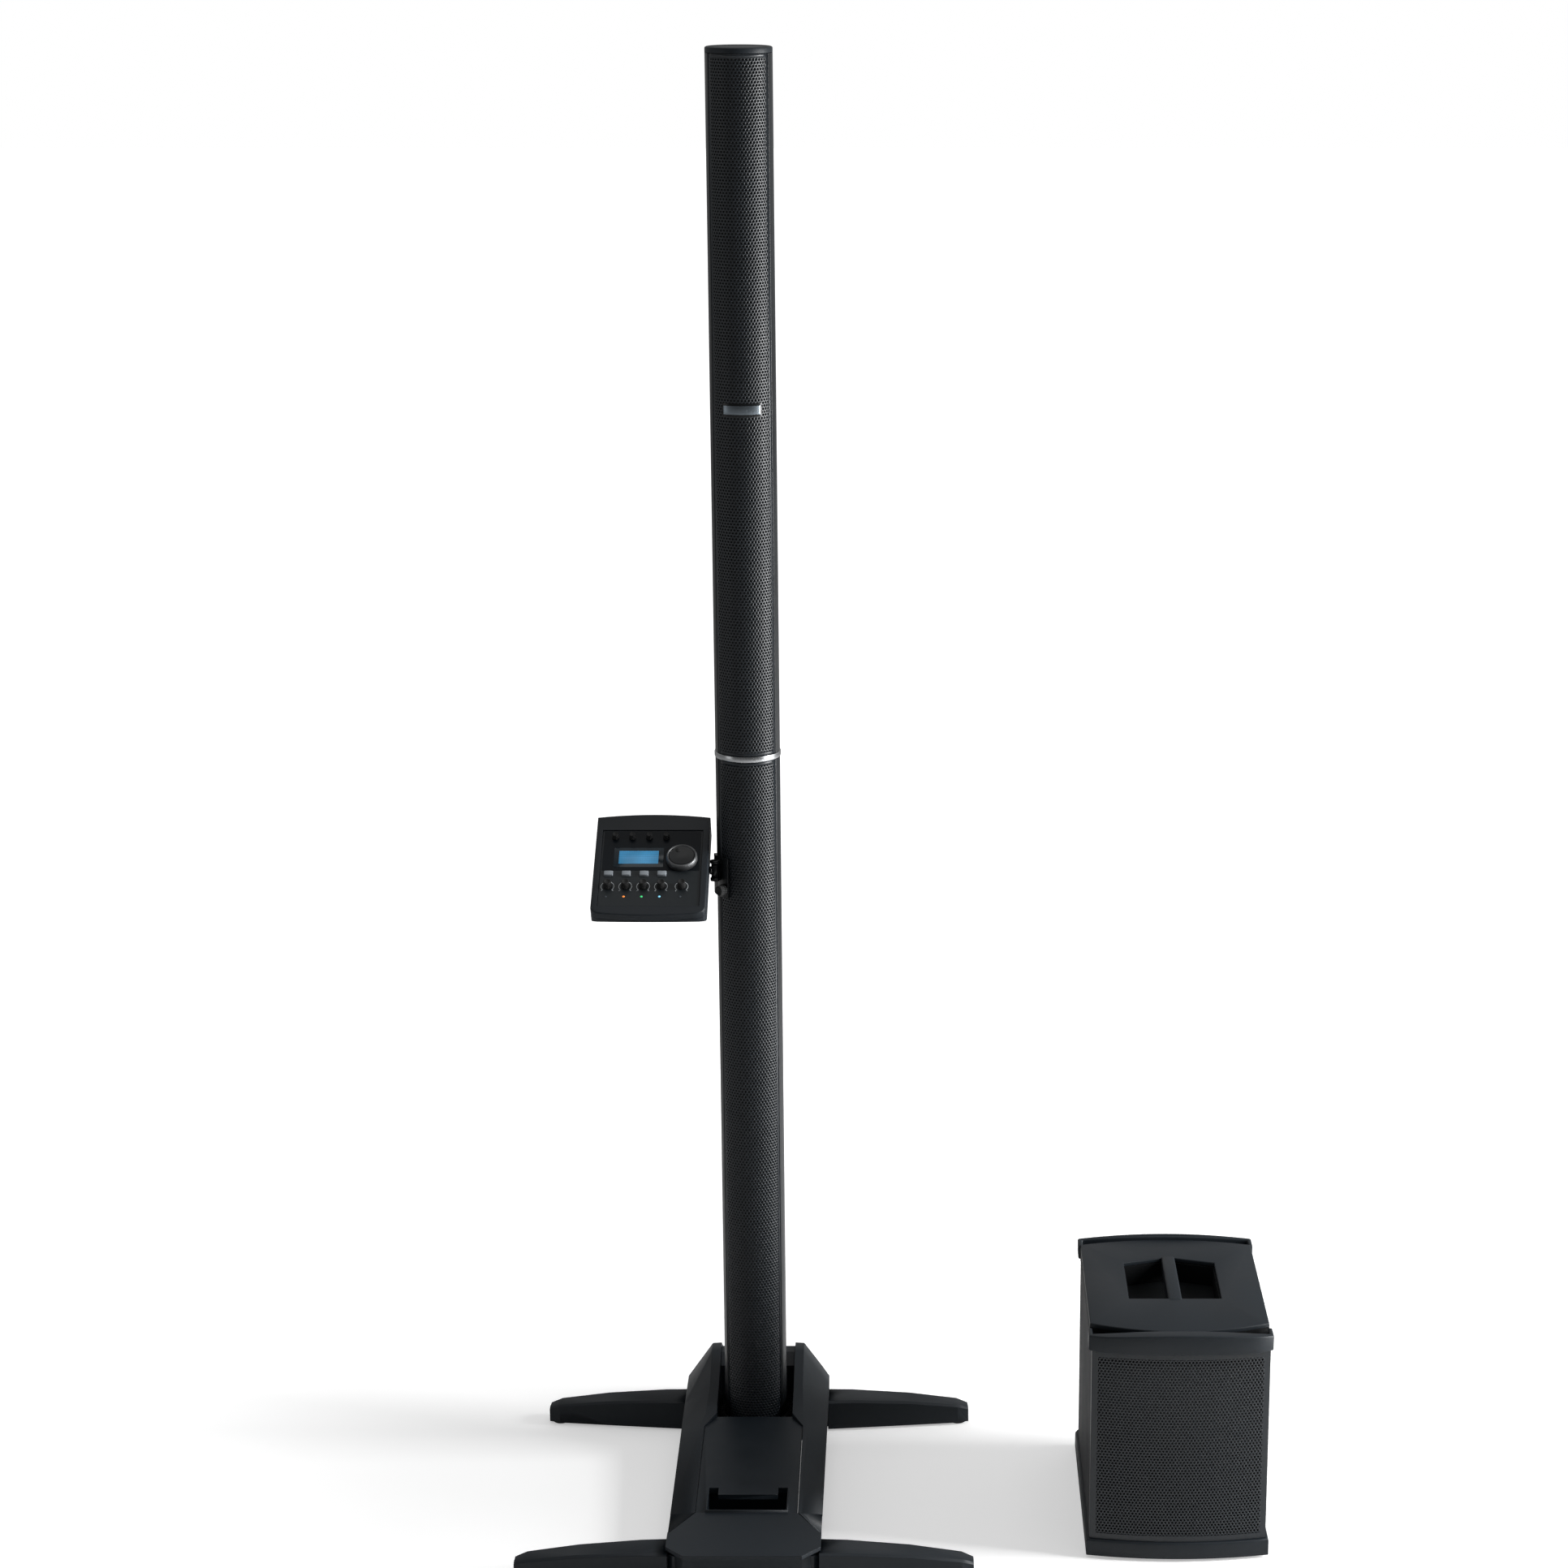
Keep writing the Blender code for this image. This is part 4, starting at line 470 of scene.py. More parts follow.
def grained(name, dark, light, gloss, grain, relief, stretch=(1, 1, 1), patch=0.12, edge=0.0, **constants):
    """A finish whose fine grain varies its colour, gloss and height.

    dark and light are linear colours, gloss the smooth and rough ends of its roughness, grain and patch the sizes
    of one grain and of one broad patch, relief the height of a grain and edge the rounding of sharp corners, in metres.
    """
    tree, shader = new_finish(name, **constants)
    place = add_node(tree, "ShaderNodeTexCoord").outputs["Object"]
    drawn = add_node(tree, "ShaderNodeMapping", {"Vector": place, "Scale": stretch}).outputs["Vector"]
    fine = add_node(tree, "ShaderNodeTexNoise", {"Vector": drawn, "Scale": 1 / grain, "Detail": 3.0}).outputs["Fac"]
    broad = add_node(tree, "ShaderNodeTexNoise", {"Vector": place, "Scale": 1 / patch, "Detail": 4.0}).outputs["Fac"]
    mixed = add_node(tree, "ShaderNodeMath", {0: fine, 1: broad}, operation="ADD").outputs[0]
    share = add_node(tree, "ShaderNodeMapRange", {"Value": mixed, "From Min": 0.7, "From Max": 1.3}).outputs["Result"]
    tone = colour_mix(tree, share, dark, light)
    rough = add_node(tree, "ShaderNodeMapRange", {"Value": broad, "From Min": 0.3, "From Max": 0.7,
                                                  "To Min": gloss[0], "To Max": gloss[1]}).outputs["Result"]
    tree.links.new(tone, shader.inputs["Base Color"])
    tree.links.new(rough, shader.inputs["Roughness"])
    bump = add_node(tree, "ShaderNodeBump", {"Height": fine, "Strength": 0.6, "Distance": relief})
    if edge:
        corner = add_node(tree, "ShaderNodeBevel", {"Radius": edge}, samples=4)
        tree.links.new(corner.outputs["Normal"], bump.inputs["Normal"])
    tree.links.new(bump.outputs["Normal"], shader.inputs["Normal"])
    return tree, shader


def colour_mix(tree, share, first, second):
    """The output of a mix of two linear colours by a share."""
    mix = add_node(tree, "ShaderNodeMix", data_type="RGBA")
    tree.links.new(share, mix.inputs[0])
    mix.inputs[6].default_value = (*first[:3], 1)
    mix.inputs[7].default_value = (*second[:3], 1)
    return mix.outputs[2]


def lighter(base, factor):
    return [min(1.0, channel * factor) for channel in base]


class BuildFinishes(bpy.types.Operator):
    """Makes the materials that every piece takes its finish from"""

    bl_idname = "column_system.finishes"
    bl_label = "Finishes"

    def execute(self, context):
        colours = context.scene.column_colours
        # Extruded and black anodised: satin, with faint upright draw lines from the die
        grained("black_anodised_aluminium", lighter(colours.aluminium, 0.85), lighter(colours.aluminium, 1.15),
                (0.34, 0.42), 0.0006, 0.00003, stretch=(1, 1, 0.02), Metallic=0.25)
        # Punched sheet, powder coated: an even satin skin with a slight orange peel
        grained("powder_coated_steel", lighter(colours.steel, 0.85), lighter(colours.steel, 1.15),
                (0.36, 0.44), 0.0012, 0.00004, Metallic=0.0)
        # Textile stretched behind the holes: swallows the light
        grained("acoustic_cloth", linear("#0B0E10"), linear("#111517"), (0.70, 0.80), 0.0008, 0.0001)
        # Injection-moulded ABS from a spark-eroded mould: a fine even grain that spreads the highlights
        grained("charcoal_abs", lighter(colours.plastic, 0.85), lighter(colours.plastic, 1.18),
                (0.46, 0.56), 0.0011, 0.00006, edge=0.0010, Specular_IOR_Level=0.34)
        # The same plastic on the deck, polished a little by shoes and hands
        grained("worn_abs", lighter(colours.plastic, 0.85), lighter(colours.plastic, 1.18),
                (0.40, 0.52), 0.0011, 0.00004, edge=0.0008, patch=0.06, Specular_IOR_Level=0.34)
        # Black polycarbonate trim from a polished mould: deeper black, clearer reflections
        grained("black_polycarbonate", lighter(colours.trim, 0.8), lighter(colours.trim, 1.2),
                (0.24, 0.32), 0.0020, 0.00001, edge=0.0005, Specular_IOR_Level=0.34)
        # Matt film laid on the control panel
        grained("matt_panel_film", linear("#11171B"), linear("#181F23"), (0.46, 0.54), 0.0008, 0.00002,
                edge=0.0004, Specular_IOR_Level=0.34)
        # Black polyester overlay round the display: a coated film that hardly reflects
        grained("coated_black_film", linear("#04090E"), linear("#070F16"), (0.34, 0.42), 0.0010, 0.00001,
                Specular_IOR_Level=0.12)
        # The same ABS on the base under the deck, in the grooves behind the lips and in the handle pocket: matt from a
        # coarsely etched mould, with its colour painted nearly black as shade
        grained("deep_shade_abs", linear("#06080A"), linear("#0A0D0F"), (0.66, 0.76), 0.0014, 0.00008,
                Specular_IOR_Level=0.16)
        # Zinc die casting, satin nickel plated: a bright soft mirror
        grained("satin_nickel", lighter(colours.bright, 0.92), colours.bright, (0.24, 0.32), 0.0009, 0.00002,
                Metallic=1.0)
        # Turned zinc ring, blasted before plating: a greyer, softer shine
        grained("blasted_nickel", lighter(colours.bright, 0.30), lighter(colours.bright, 0.38), (0.42, 0.50),
                0.0009, 0.00002, Metallic=1.0)
        # Sheet aluminium brushed lengthwise: fine level lines
        grained("brushed_aluminium", lighter(colours.badge, 0.80), lighter(colours.badge, 1.15), (0.30, 0.42),
                0.0006, 0.00003, stretch=(0.03, 0.03, 1), Metallic=1.0)
        # Thermoplastic rubber: matt and slightly dusty
        grained("soft_rubber", linear("#0A0B0C"), linear("#141516"), (0.72, 0.86), 0.0010, 0.00006, edge=0.0006)
        # Silicone rubber of the push buttons: pale, matt and faintly translucent
        grained("pale_silicone", lighter(colours.buttons, 0.9), lighter(colours.buttons, 1.08), (0.48, 0.58),
                0.0009, 0.00003, edge=0.0004)
        # Zinc-plated sheet steel: grey and cloudy
        grained("zinc_plated_steel", linear("#6B6E72"), linear("#8B8F93"), (0.34, 0.50), 0.0030, 0.00002,
                Metallic=1.0, patch=0.02, edge=0.0006)
        # Pressed steel tray, stove enamelled black
        grained("black_enamelled_steel", linear("#0D0F10"), linear("#15181A"), (0.38, 0.50), 0.0016, 0.00003,
                edge=0.0006)
        # Nickel-plated screws and contacts
        grained("nickel_plated_steel", linear("#8F9295"), linear("#A8ABAD"), (0.24, 0.34), 0.0010, 0.00001,
                Metallic=1.0)
        # Turned brass contact pins
        grained("brass", linear("#B08D4A"), linear("#C9A55C"), (0.22, 0.32), 0.0010, 0.00001, Metallic=1.0)
        # Fibreboard sprayed with a pebbled water-based paint
        grained("pebbled_paint", linear("#0F1215"), linear("#171B1F"), (0.60, 0.72), 0.0022, 0.00025, edge=0.0015,
                Specular_IOR_Level=0.24)
        # Pressed paper cones, with a fibrous grain
        grained("cone_paper", linear("#0F0F10"), linear("#1A1A1B"), (0.80, 0.92), 0.0014, 0.00010)
        # Glass-fibre board under green solder resist
        grained("circuit_board", linear("#0C4A2A"), linear("#126238"), (0.30, 0.42), 0.0040, 0.00004)
        # Pad-printed ink for pointers and marks
        grained("printed_ink", linear("#AEB4B8"), linear("#C4C9CC"), (0.50, 0.60), 0.0008, 0.00001)
        # Clear black acrylic over the display
        grained("tinted_acrylic", linear("#03141C"), linear("#05202C"), (0.10, 0.16), 0.0030, 0.000004)
        for name, tint, strength in (
            ("amber_lens", "#F08A3C", 0.9), ("green_lens", "#43D67E", 0.7), ("cyan_lens", "#7CC9E8", 0.9),
            ("unlit_lens", "#39424A", 0.0),
        ):
            # Moulded diffusing lens over a lamp chip
            shader = grained(name, lighter(linear(tint), 0.7), linear(tint), (0.30, 0.40), 0.0010, 0.00001)[1]
            shader.inputs["Emission Color"].default_value = (*linear(tint), 1)
            shader.inputs["Emission Strength"].default_value = strength
        self.display(colours)
        return {"FINISHED"}

    def display(self, colours):
        """A backlit liquid crystal: bright blue, a little uneven, with the dark lines between its dots."""
        dot = 0.0011  # real dots are 0.5 mm; drawn at twice that to show
        tree, shader = new_finish("lit_crystal", Roughness=0.22)
        place = add_node(tree, "ShaderNodeTexCoord").outputs["Object"]
        glow = add_node(tree, "ShaderNodeTexNoise", {"Vector": place, "Scale": 45.0, "Detail": 1.0}).outputs["Fac"]
        parts = add_node(tree, "ShaderNodeSeparateXYZ", {"Vector": place})
        lines = []
        for axis in ("X", "Z"):
            wave = add_node(tree, "ShaderNodeMath", {0: parts.outputs[axis], 1: dot}, operation="PINGPONG")
            edge = add_node(tree, "ShaderNodeMath", {0: wave.outputs[0], 1: dot * 0.12}, operation="GREATER_THAN")
            lines.append(edge)
        cells = add_node(tree, "ShaderNodeMath", {0: lines[0].outputs[0], 1: lines[1].outputs[0]},
                         operation="MULTIPLY").outputs[0]
        lit = add_node(tree, "ShaderNodeMath", {0: cells, 1: glow}, operation="MULTIPLY").outputs[0]
        shade = add_node(tree, "ShaderNodeMapRange", {"Value": lit, "From Min": 0.1, "From Max": 0.6}).outputs["Result"]
        tone = colour_mix(tree, shade, lighter(colours.screen, 0.62), colours.screen)
        tree.links.new(tone, shader.inputs["Base Color"])
        tree.links.new(tone, shader.inputs["Emission Color"])
        shader.inputs["Emission Strength"].default_value = 0.42


# ---------------------------------------------------------------- column


class BuildColumn(bpy.types.Operator):
    """Makes the aluminium shells, cap, joint ring and badge of the column"""

    bl_idname = "column_system.column"
    bl_label = "Column Shells"

    def execute(self, context):
        sizes = context.scene.column_sizes
        seam = 61.8
        for name, body, low, high in (
            ("lower", "lower_column", *self.height("lower_column_shell")),
            ("upper", "upper_column", *self.height("upper_column_shell")),
        ):
            wall = arc_wall(COLUMN_RADIUS - 0.003, COLUMN_RADIUS, seam, 360 - seam, low, high, 72)
            piece(f"{name}_back_shell", rounded(wall, 0.0004, 2, angle=60), "black_anodised_aluminium", body,
                  replaces=(f"{name}_column_shell",))
            # A shallow rail down the middle of the back, which hides the screws' line
            foot = max(low, 0.075)
            rail = arc_wall(COLUMN_RADIUS - 0.001, COLUMN_RADIUS + 0.0008, 172, 188, foot + 0.01, high - 0.01, 6)
            piece(f"{name}_back_rail", rounded(rail, 0.0003, 2, angle=60), "black_anodised_aluminium", body)
            heights = [foot + 0.05 + i * (high - foot - 0.10) / 3 for i in range(4)]
            screws(f"{name}_back_screw", [(0, COLUMN_RADIUS + 0.0006, z) for z in heights], body, (0, 1, 0),
                   "black_anodised_aluminium")
        top, low = COLUMN_TOP, GRILLE_TOP - 0.012
        cap = spun([(0, low), (0.0440, low), (0.0440, top - 0.0078), (COLUMN_RADIUS, top - 0.0078),
                    (COLUMN_RADIUS, top - 0.0022), (COLUMN_RADIUS - 0.0007, top - 0.0007),
                    (COLUMN_RADIUS - 0.0024, top), (0.0420, top), (0.0405, top - 0.0012),
                    (0.0300, top - 0.0006), (0, top - 0.0002)], 96)
        piece("column_top_cap", cap, "charcoal_abs", "upper_column", replaces=("top_cap",))
        edge = sizes.ring_edge
        ring = spun([(COLUMN_RADIUS - 0.006, RING_LOW), (RING_RADIUS - edge, RING_LOW),
                     (RING_RADIUS - edge * 0.3, RING_LOW + edge * 0.3), (RING_RADIUS, RING_LOW + edge),
                     (RING_RADIUS, RING_TOP - edge), (RING_RADIUS - edge * 0.3, RING_TOP - edge * 0.3),
                     (RING_RADIUS - edge, RING_TOP), (COLUMN_RADIUS - 0.006, RING_TOP)], 96, closed=True)
        piece("bright_joint_ring", ring, "satin_nickel", "upper_column", replaces=("joint_ring",))
        badge = arc_wall(GRILLE_RADIUS + 0.0003, GRILLE_RADIUS + 0.0013, -33, 33, BADGE_LOW, BADGE_TOP, 24)
        piece("blank_badge", rounded(badge, 0.0003, 2, angle=60), "brushed_aluminium", "upper_column",
              replaces=("badge_plate",))
        mount = arc_wall(GRILLE_RADIUS - 0.0004, GRILLE_RADIUS + 0.0006, -36, 36,
                         BADGE_LOW - 0.0035, BADGE_TOP + 0.0035, 24)
        piece("badge_surround", rounded(mount, 0.0002, 2, angle=60), "black_polycarbonate", "upper_column")
        return {"FINISHED"}

    def height(self, node):
        return [corner.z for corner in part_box(node)]


class BuildGrilles(bpy.types.Operator):
    """Makes the perforated steel fronts of the column, with the cloth behind them"""

    bl_idname = "column_system.grilles"
    bl_label = "Column Grilles"

    def execute(self, context):
        sizes = context.scene.column_sizes
        edge = GRILLE_RADIUS * math.radians(61.0)
        margin = sizes.margin
        for name, body, low, high in (
            ("lower", "lower_column", COLUMN_LOW, JOINT_LOW),
            ("upper", "upper_column", JOINT_TOP, GRILLE_TOP),
        ):
            curve = round_column(GRILLE_RADIUS)
            sheet = perforated(2 * (edge - margin), high - low - 2 * margin, sizes.pitch, sizes.hole)
            bmesh.ops.translate(sheet, verts=sheet.verts, vec=(0, 0, low + margin))
            grille = piece(f"{name}_perforated_front", facing(bent(sheet, curve), (0, -1, 0)), "powder_coated_steel",
                           body, smooth=60, replaces=(f"{name}_column_grille",))
            walled(grille, sizes.sheet)
            for side, bounds in {
                "left": (-edge, margin - edge, low, high), "right": (edge - margin, edge, low, high),
                "foot": (margin - edge, edge - margin, low, low + margin),
                "head": (margin - edge, edge - margin, high - margin, high),
            }.items():
                steps = 24 if side in ("foot", "head") else 2
                border = facing(bent(strip(*bounds, steps), curve), (math.copysign(0.01, bounds[0]), -1, 0))
                sheet = piece(f"{name}_front_{side}_border", border, "powder_coated_steel", body, smooth=60)
                walled(sheet, sizes.sheet)
            inside = GRILLE_RADIUS - sizes.sheet - 0.0004
            cloth = arc_wall(inside - 0.0004, inside, -58, 58, low + 0.002, high - 0.002, 36)
            piece(f"{name}_front_cloth", cloth, "acoustic_cloth", body)
        return {"FINISHED"}


# ---------------------------------------------------------------- stand


class BuildStand(bpy.types.Operator):
    """Gives the stand's covers and legs their finish, and adds pads, a centre rubber foot and screws"""

    bl_idname = "column_system.stand"
    bl_label = "Stand"

    def execute(self, context):
        for node in ("left_cheek", "right_cheek", "nose_cover", "rear_cover"):
            carried(node, "charcoal_abs", node + "_moulding", "stand", 30)
        carried("deck_cover", "worn_abs", "deck_moulding", "stand", 30)
        carried("column_socket", "black_polycarbonate", "socket_moulding", "stand", smooth=30)
        carried("chassis_tray", "black_enamelled_steel", "chassis_pressing", "stand", 30)
        for name, (pivot, angle) in LEGS.items():
            carried(f"{name}_leg", "charcoal_abs", f"{name}_leg_moulding", f"{name}_leg", 25)
            self.pad(name, pivot, angle)
        tread = spun([(0, 0), (0.026, 0), (0.0275, 0.0006), (0.0290, 0), (0.0312, 0), (0.032, 0.0008),
                      (0.032, 0.0110), (0.030, 0.0117), (0, 0.0117)], 64)
        piece("centre_rubber_foot", tread, "soft_rubber", "stand", replaces=("centre_foot",))
        screws("rear_cover_screw", [(x, 0.135, 0.1063) for x in (-0.045, 0.045)], "stand", (0, 0.528, 0.849))
        spots = [(x, STAND_BACK - 0.0012, z) for x in (-0.050, 0.050) for z in (0.019, 0.047)]
        screws("plate_screw", spots, "stand", (0, 1, 0))
        return {"FINISHED"}

    def pad(self, name, pivot, angle):
        """The rubber pad near a leg's tip."""
        radius = bpy.context.scene.column_stand.pad_radius
        turn = math.radians(angle)
        place = (pivot[0] + FOOT_FROM_PIVOT * math.cos(turn), pivot[1] + FOOT_FROM_PIVOT * math.sin(turn), 0)
        shape = spun([(0, 0.0003), (radius * 0.55, 0.0003), (radius * 0.60, 0), (radius * 0.92, 0), (radius, 0.0007),
                      (radius, 0.0036), (radius - 0.0004, 0.0045), (0, 0.0045)], 40)
        piece(f"{name}_leg_pad", placed(shape, Matrix.Translation(place)), "soft_rubber", f"{name}_leg")


class BuildConnections(bpy.types.Operator):
    """Makes the mains inlet, the output socket and the rocker switch at the stand's back"""

    bl_idname = "column_system.connections"
    bl_label = "Rear Connections"

    def execute(self, context):
        carried("connector_plate", "matt_panel_film", "connector_moulding", "stand")
        carried("mains_inlet", "black_polycarbonate", "inlet_moulding", "stand")
        carried("output_socket", "black_polycarbonate", "output_moulding", "stand")
        carried("power_switch", "black_polycarbonate", "rocker_moulding", "power_switch")
        height = 0.033
        for name, x, z in (("earth", 0, 0.0025), ("live", 0.007, -0.0015), ("neutral", -0.007, -0.0015)):
            blade = block((-0.028 + x - 0.001, STAND_BACK - 0.0145, height + z - 0.002),
                          (-0.028 + x + 0.001, STAND_BACK - 0.003, height + z + 0.002), 0.0005)
            piece(f"inlet_{name}_pin", blade, "nickel_plated_steel", "stand")
        turn = Matrix.Translation((0.008, STAND_BACK, height)) @ Matrix.Rotation(-math.pi / 2, 4, "X")
        core = spun([(0, -0.0142), (0.0062, -0.0142), (0.0062, -0.0030), (0.0056, -0.0022), (0, -0.0022)], 32)
        piece("output_core", placed(core, turn), "black_polycarbonate", "stand")
        for index in range(4):
            angle = math.radians(45 + 90 * index)
            contact = block((-0.0008, -0.0004, -0.0142), (0.0008, 0.0004, -0.0040), 0.0002)
            spot = Matrix.Translation((0.0069 * math.cos(angle), 0.0069 * math.sin(angle), 0))
            put = turn @ spot @ Matrix.Rotation(angle + math.pi / 2, 4, "Z")
            piece(f"output_contact_{index + 1}", placed(contact, put), "brass", "stand")
        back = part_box("power_switch")[1].y
        line = block((0.0378, back - 0.0003, height + 0.003), (0.0384, back + 0.0001, height + 0.0065))
        piece("switch_on_mark", line, "printed_ink", "power_switch")
        ring = arc_wall(0.0013, 0.0018, 0, 360, 0, 0.0004, 24)
        place = Matrix.Translation((0.0381, back - 0.0003, height - 0.0048)) @ Matrix.Rotation(-math.pi / 2, 4, "X")
        piece("switch_off_mark", placed(ring, place), "printed_ink", "power_switch")
        return {"FINISHED"}


# ---------------------------------------------------------------- arm and mixer


def mixer_plan(inset=0.0, steps=16):
    """The mixer's plan in its own frame, with bowed ends and rounded corners at the front."""
    half, side, corner = MIXER_HALF - inset, MIXER_SIDE - inset, 0.010
    points = []
    for i in range(steps + 1):
        x = -half + corner + (2 * half - 2 * corner) * i / steps
        points.append((x, -side - MIXER_BOW * (1 - (x / half) ** 2)))
    points += [(half - corner * 0.29, -side + corner * 0.29), (half, -side + corner)]
    for i in range(steps + 1):
        x = half - 2 * half * i / steps
        points.append((x, side + MIXER_BOW * (1 - (x / half) ** 2)))
    return points + [(-half, -side + corner), (-half + corner * 0.29, -side + corner * 0.29)]


def rectangle(low_x, low_y, high_x, high_y):
    return [(low_x, low_y), (high_x, low_y), (high_x, high_y), (low_x, high_y)]


class BuildMixerCase(bpy.types.Operator):
    """Makes the mixer's case, bezel, panel inlay, sockets and rubber pads"""

    bl_idname = "column_system.mixer_case"
    bl_label = "Mixer Case"

    def execute(self, context):
        sizes = context.scene.column_mixer
        lower = slab(mixer_plan(), -MIXER_DEPTH, MIXER_SPLIT - sizes.parting)
        cut = bmesh.ops.bisect_plane(
            lower, geom=lower.verts[:] + lower.edges[:] + lower.faces[:], plane_co=UNDERCUT_EDGE,
            plane_no=UNDERCUT_SLOPE, clear_outer=True,
        )
        bmesh.ops.holes_fill(lower, edges=[item for item in cut["geom_cut"] if isinstance(item, bmesh.types.BMEdge)])
        bmesh.ops.recalc_face_normals(lower, faces=lower.faces)
        lower = rounded(lower, sizes.edge, 4, at_height(-MIXER_DEPTH), angle=20)
        self.add("mixer_lower_case", lower, "charcoal_abs", ("mixer_base",), "charcoal_plastic")
        core = slab(mixer_plan(0.0012), MIXER_SPLIT - sizes.parting - 0.001, MIXER_SPLIT + 0.001)
        self.add("mixer_parting_core", core, "black_polycarbonate")
        opening = rectangle(-0.0740, -0.0845, 0.0740, 0.0695)
        bezel = slab(mixer_plan(), MIXER_SPLIT, 0, [opening])
        bezel = rounded(bezel, sizes.rim, 3, lambda edge: at_height(0)(edge) and not inside(edge, 0.0745, 0.0850))
        self.add("mixer_bezel", bezel, "charcoal_abs")
        dressed(("mixer_panel",), "matt_panel_film")
        dressed(("mixer_board",), "circuit_board")
        inlay = slab(rectangle(-0.0715, -0.0120, 0.0715, 0.0672), PANEL_TOP, PANEL_TOP + 0.0002,
                     [circle(x, TRIM_Y, 0.0034, 16) for x in TRIM_X] + [circle(*DIAL, 0.0034, 16)])
        self.add("mixer_black_inlay", inlay, "coated_black_film")
        for i, x in enumerate((-0.058, -0.020, 0.020, 0.058), 1):
            edge = MIXER_SIDE + MIXER_BOW * (1 - (x / MIXER_HALF) ** 2)
            self.socket(f"mixer_input_{i}", (x, edge, -0.027), 0.0085)
        for i, (x, y) in enumerate(((-0.065, -0.052), (0.065, -0.052), (-0.065, 0.078), (0.065, 0.078)), 1):
            pad = spun([(0, -0.0008), (0.0062, -0.0008), (0.0070, 0), (0.0070, 0.0006), (0, 0.0006)], 24)
            self.add(f"mixer_pad_{i}", placed(pad, Matrix.Translation((x, y, -MIXER_DEPTH))), "soft_rubber")
        return {"FINISHED"}

    def add(self, name, shape, finish, replaces=(), slot=None):
        return piece(name, placed(shape, MIXER_PLACE), finish, "mixer", 32, replaces)

    def socket(self, name, place, radius):
        """A jack socket with its ring, facing the mixer's back."""
        turn = Matrix.Translation(place) @ Matrix.Rotation(-math.pi / 2, 4, "X")
        ring = spun([(0, -0.0100), (radius * 0.42, -0.0100), (radius * 0.42, 0.0006), (radius * 0.60, 0.0012),
                     (radius * 0.92, 0.0008), (radius, 0.0), (radius, -0.0030), (0, -0.0110)], 32)
        self.add(name, placed(ring, turn), "black_polycarbonate")


def inside(edge, half, reach):
    """True for an edge of the panel opening."""
    return all(abs(end.co.x) < half and abs(end.co.y) < reach for end in edge.verts)


def circle(x, y, radius, count):
    turns = [2 * math.pi * i / count for i in range(count)]
    return [(x + radius * math.cos(turn), y + radius * math.sin(turn)) for turn in turns]


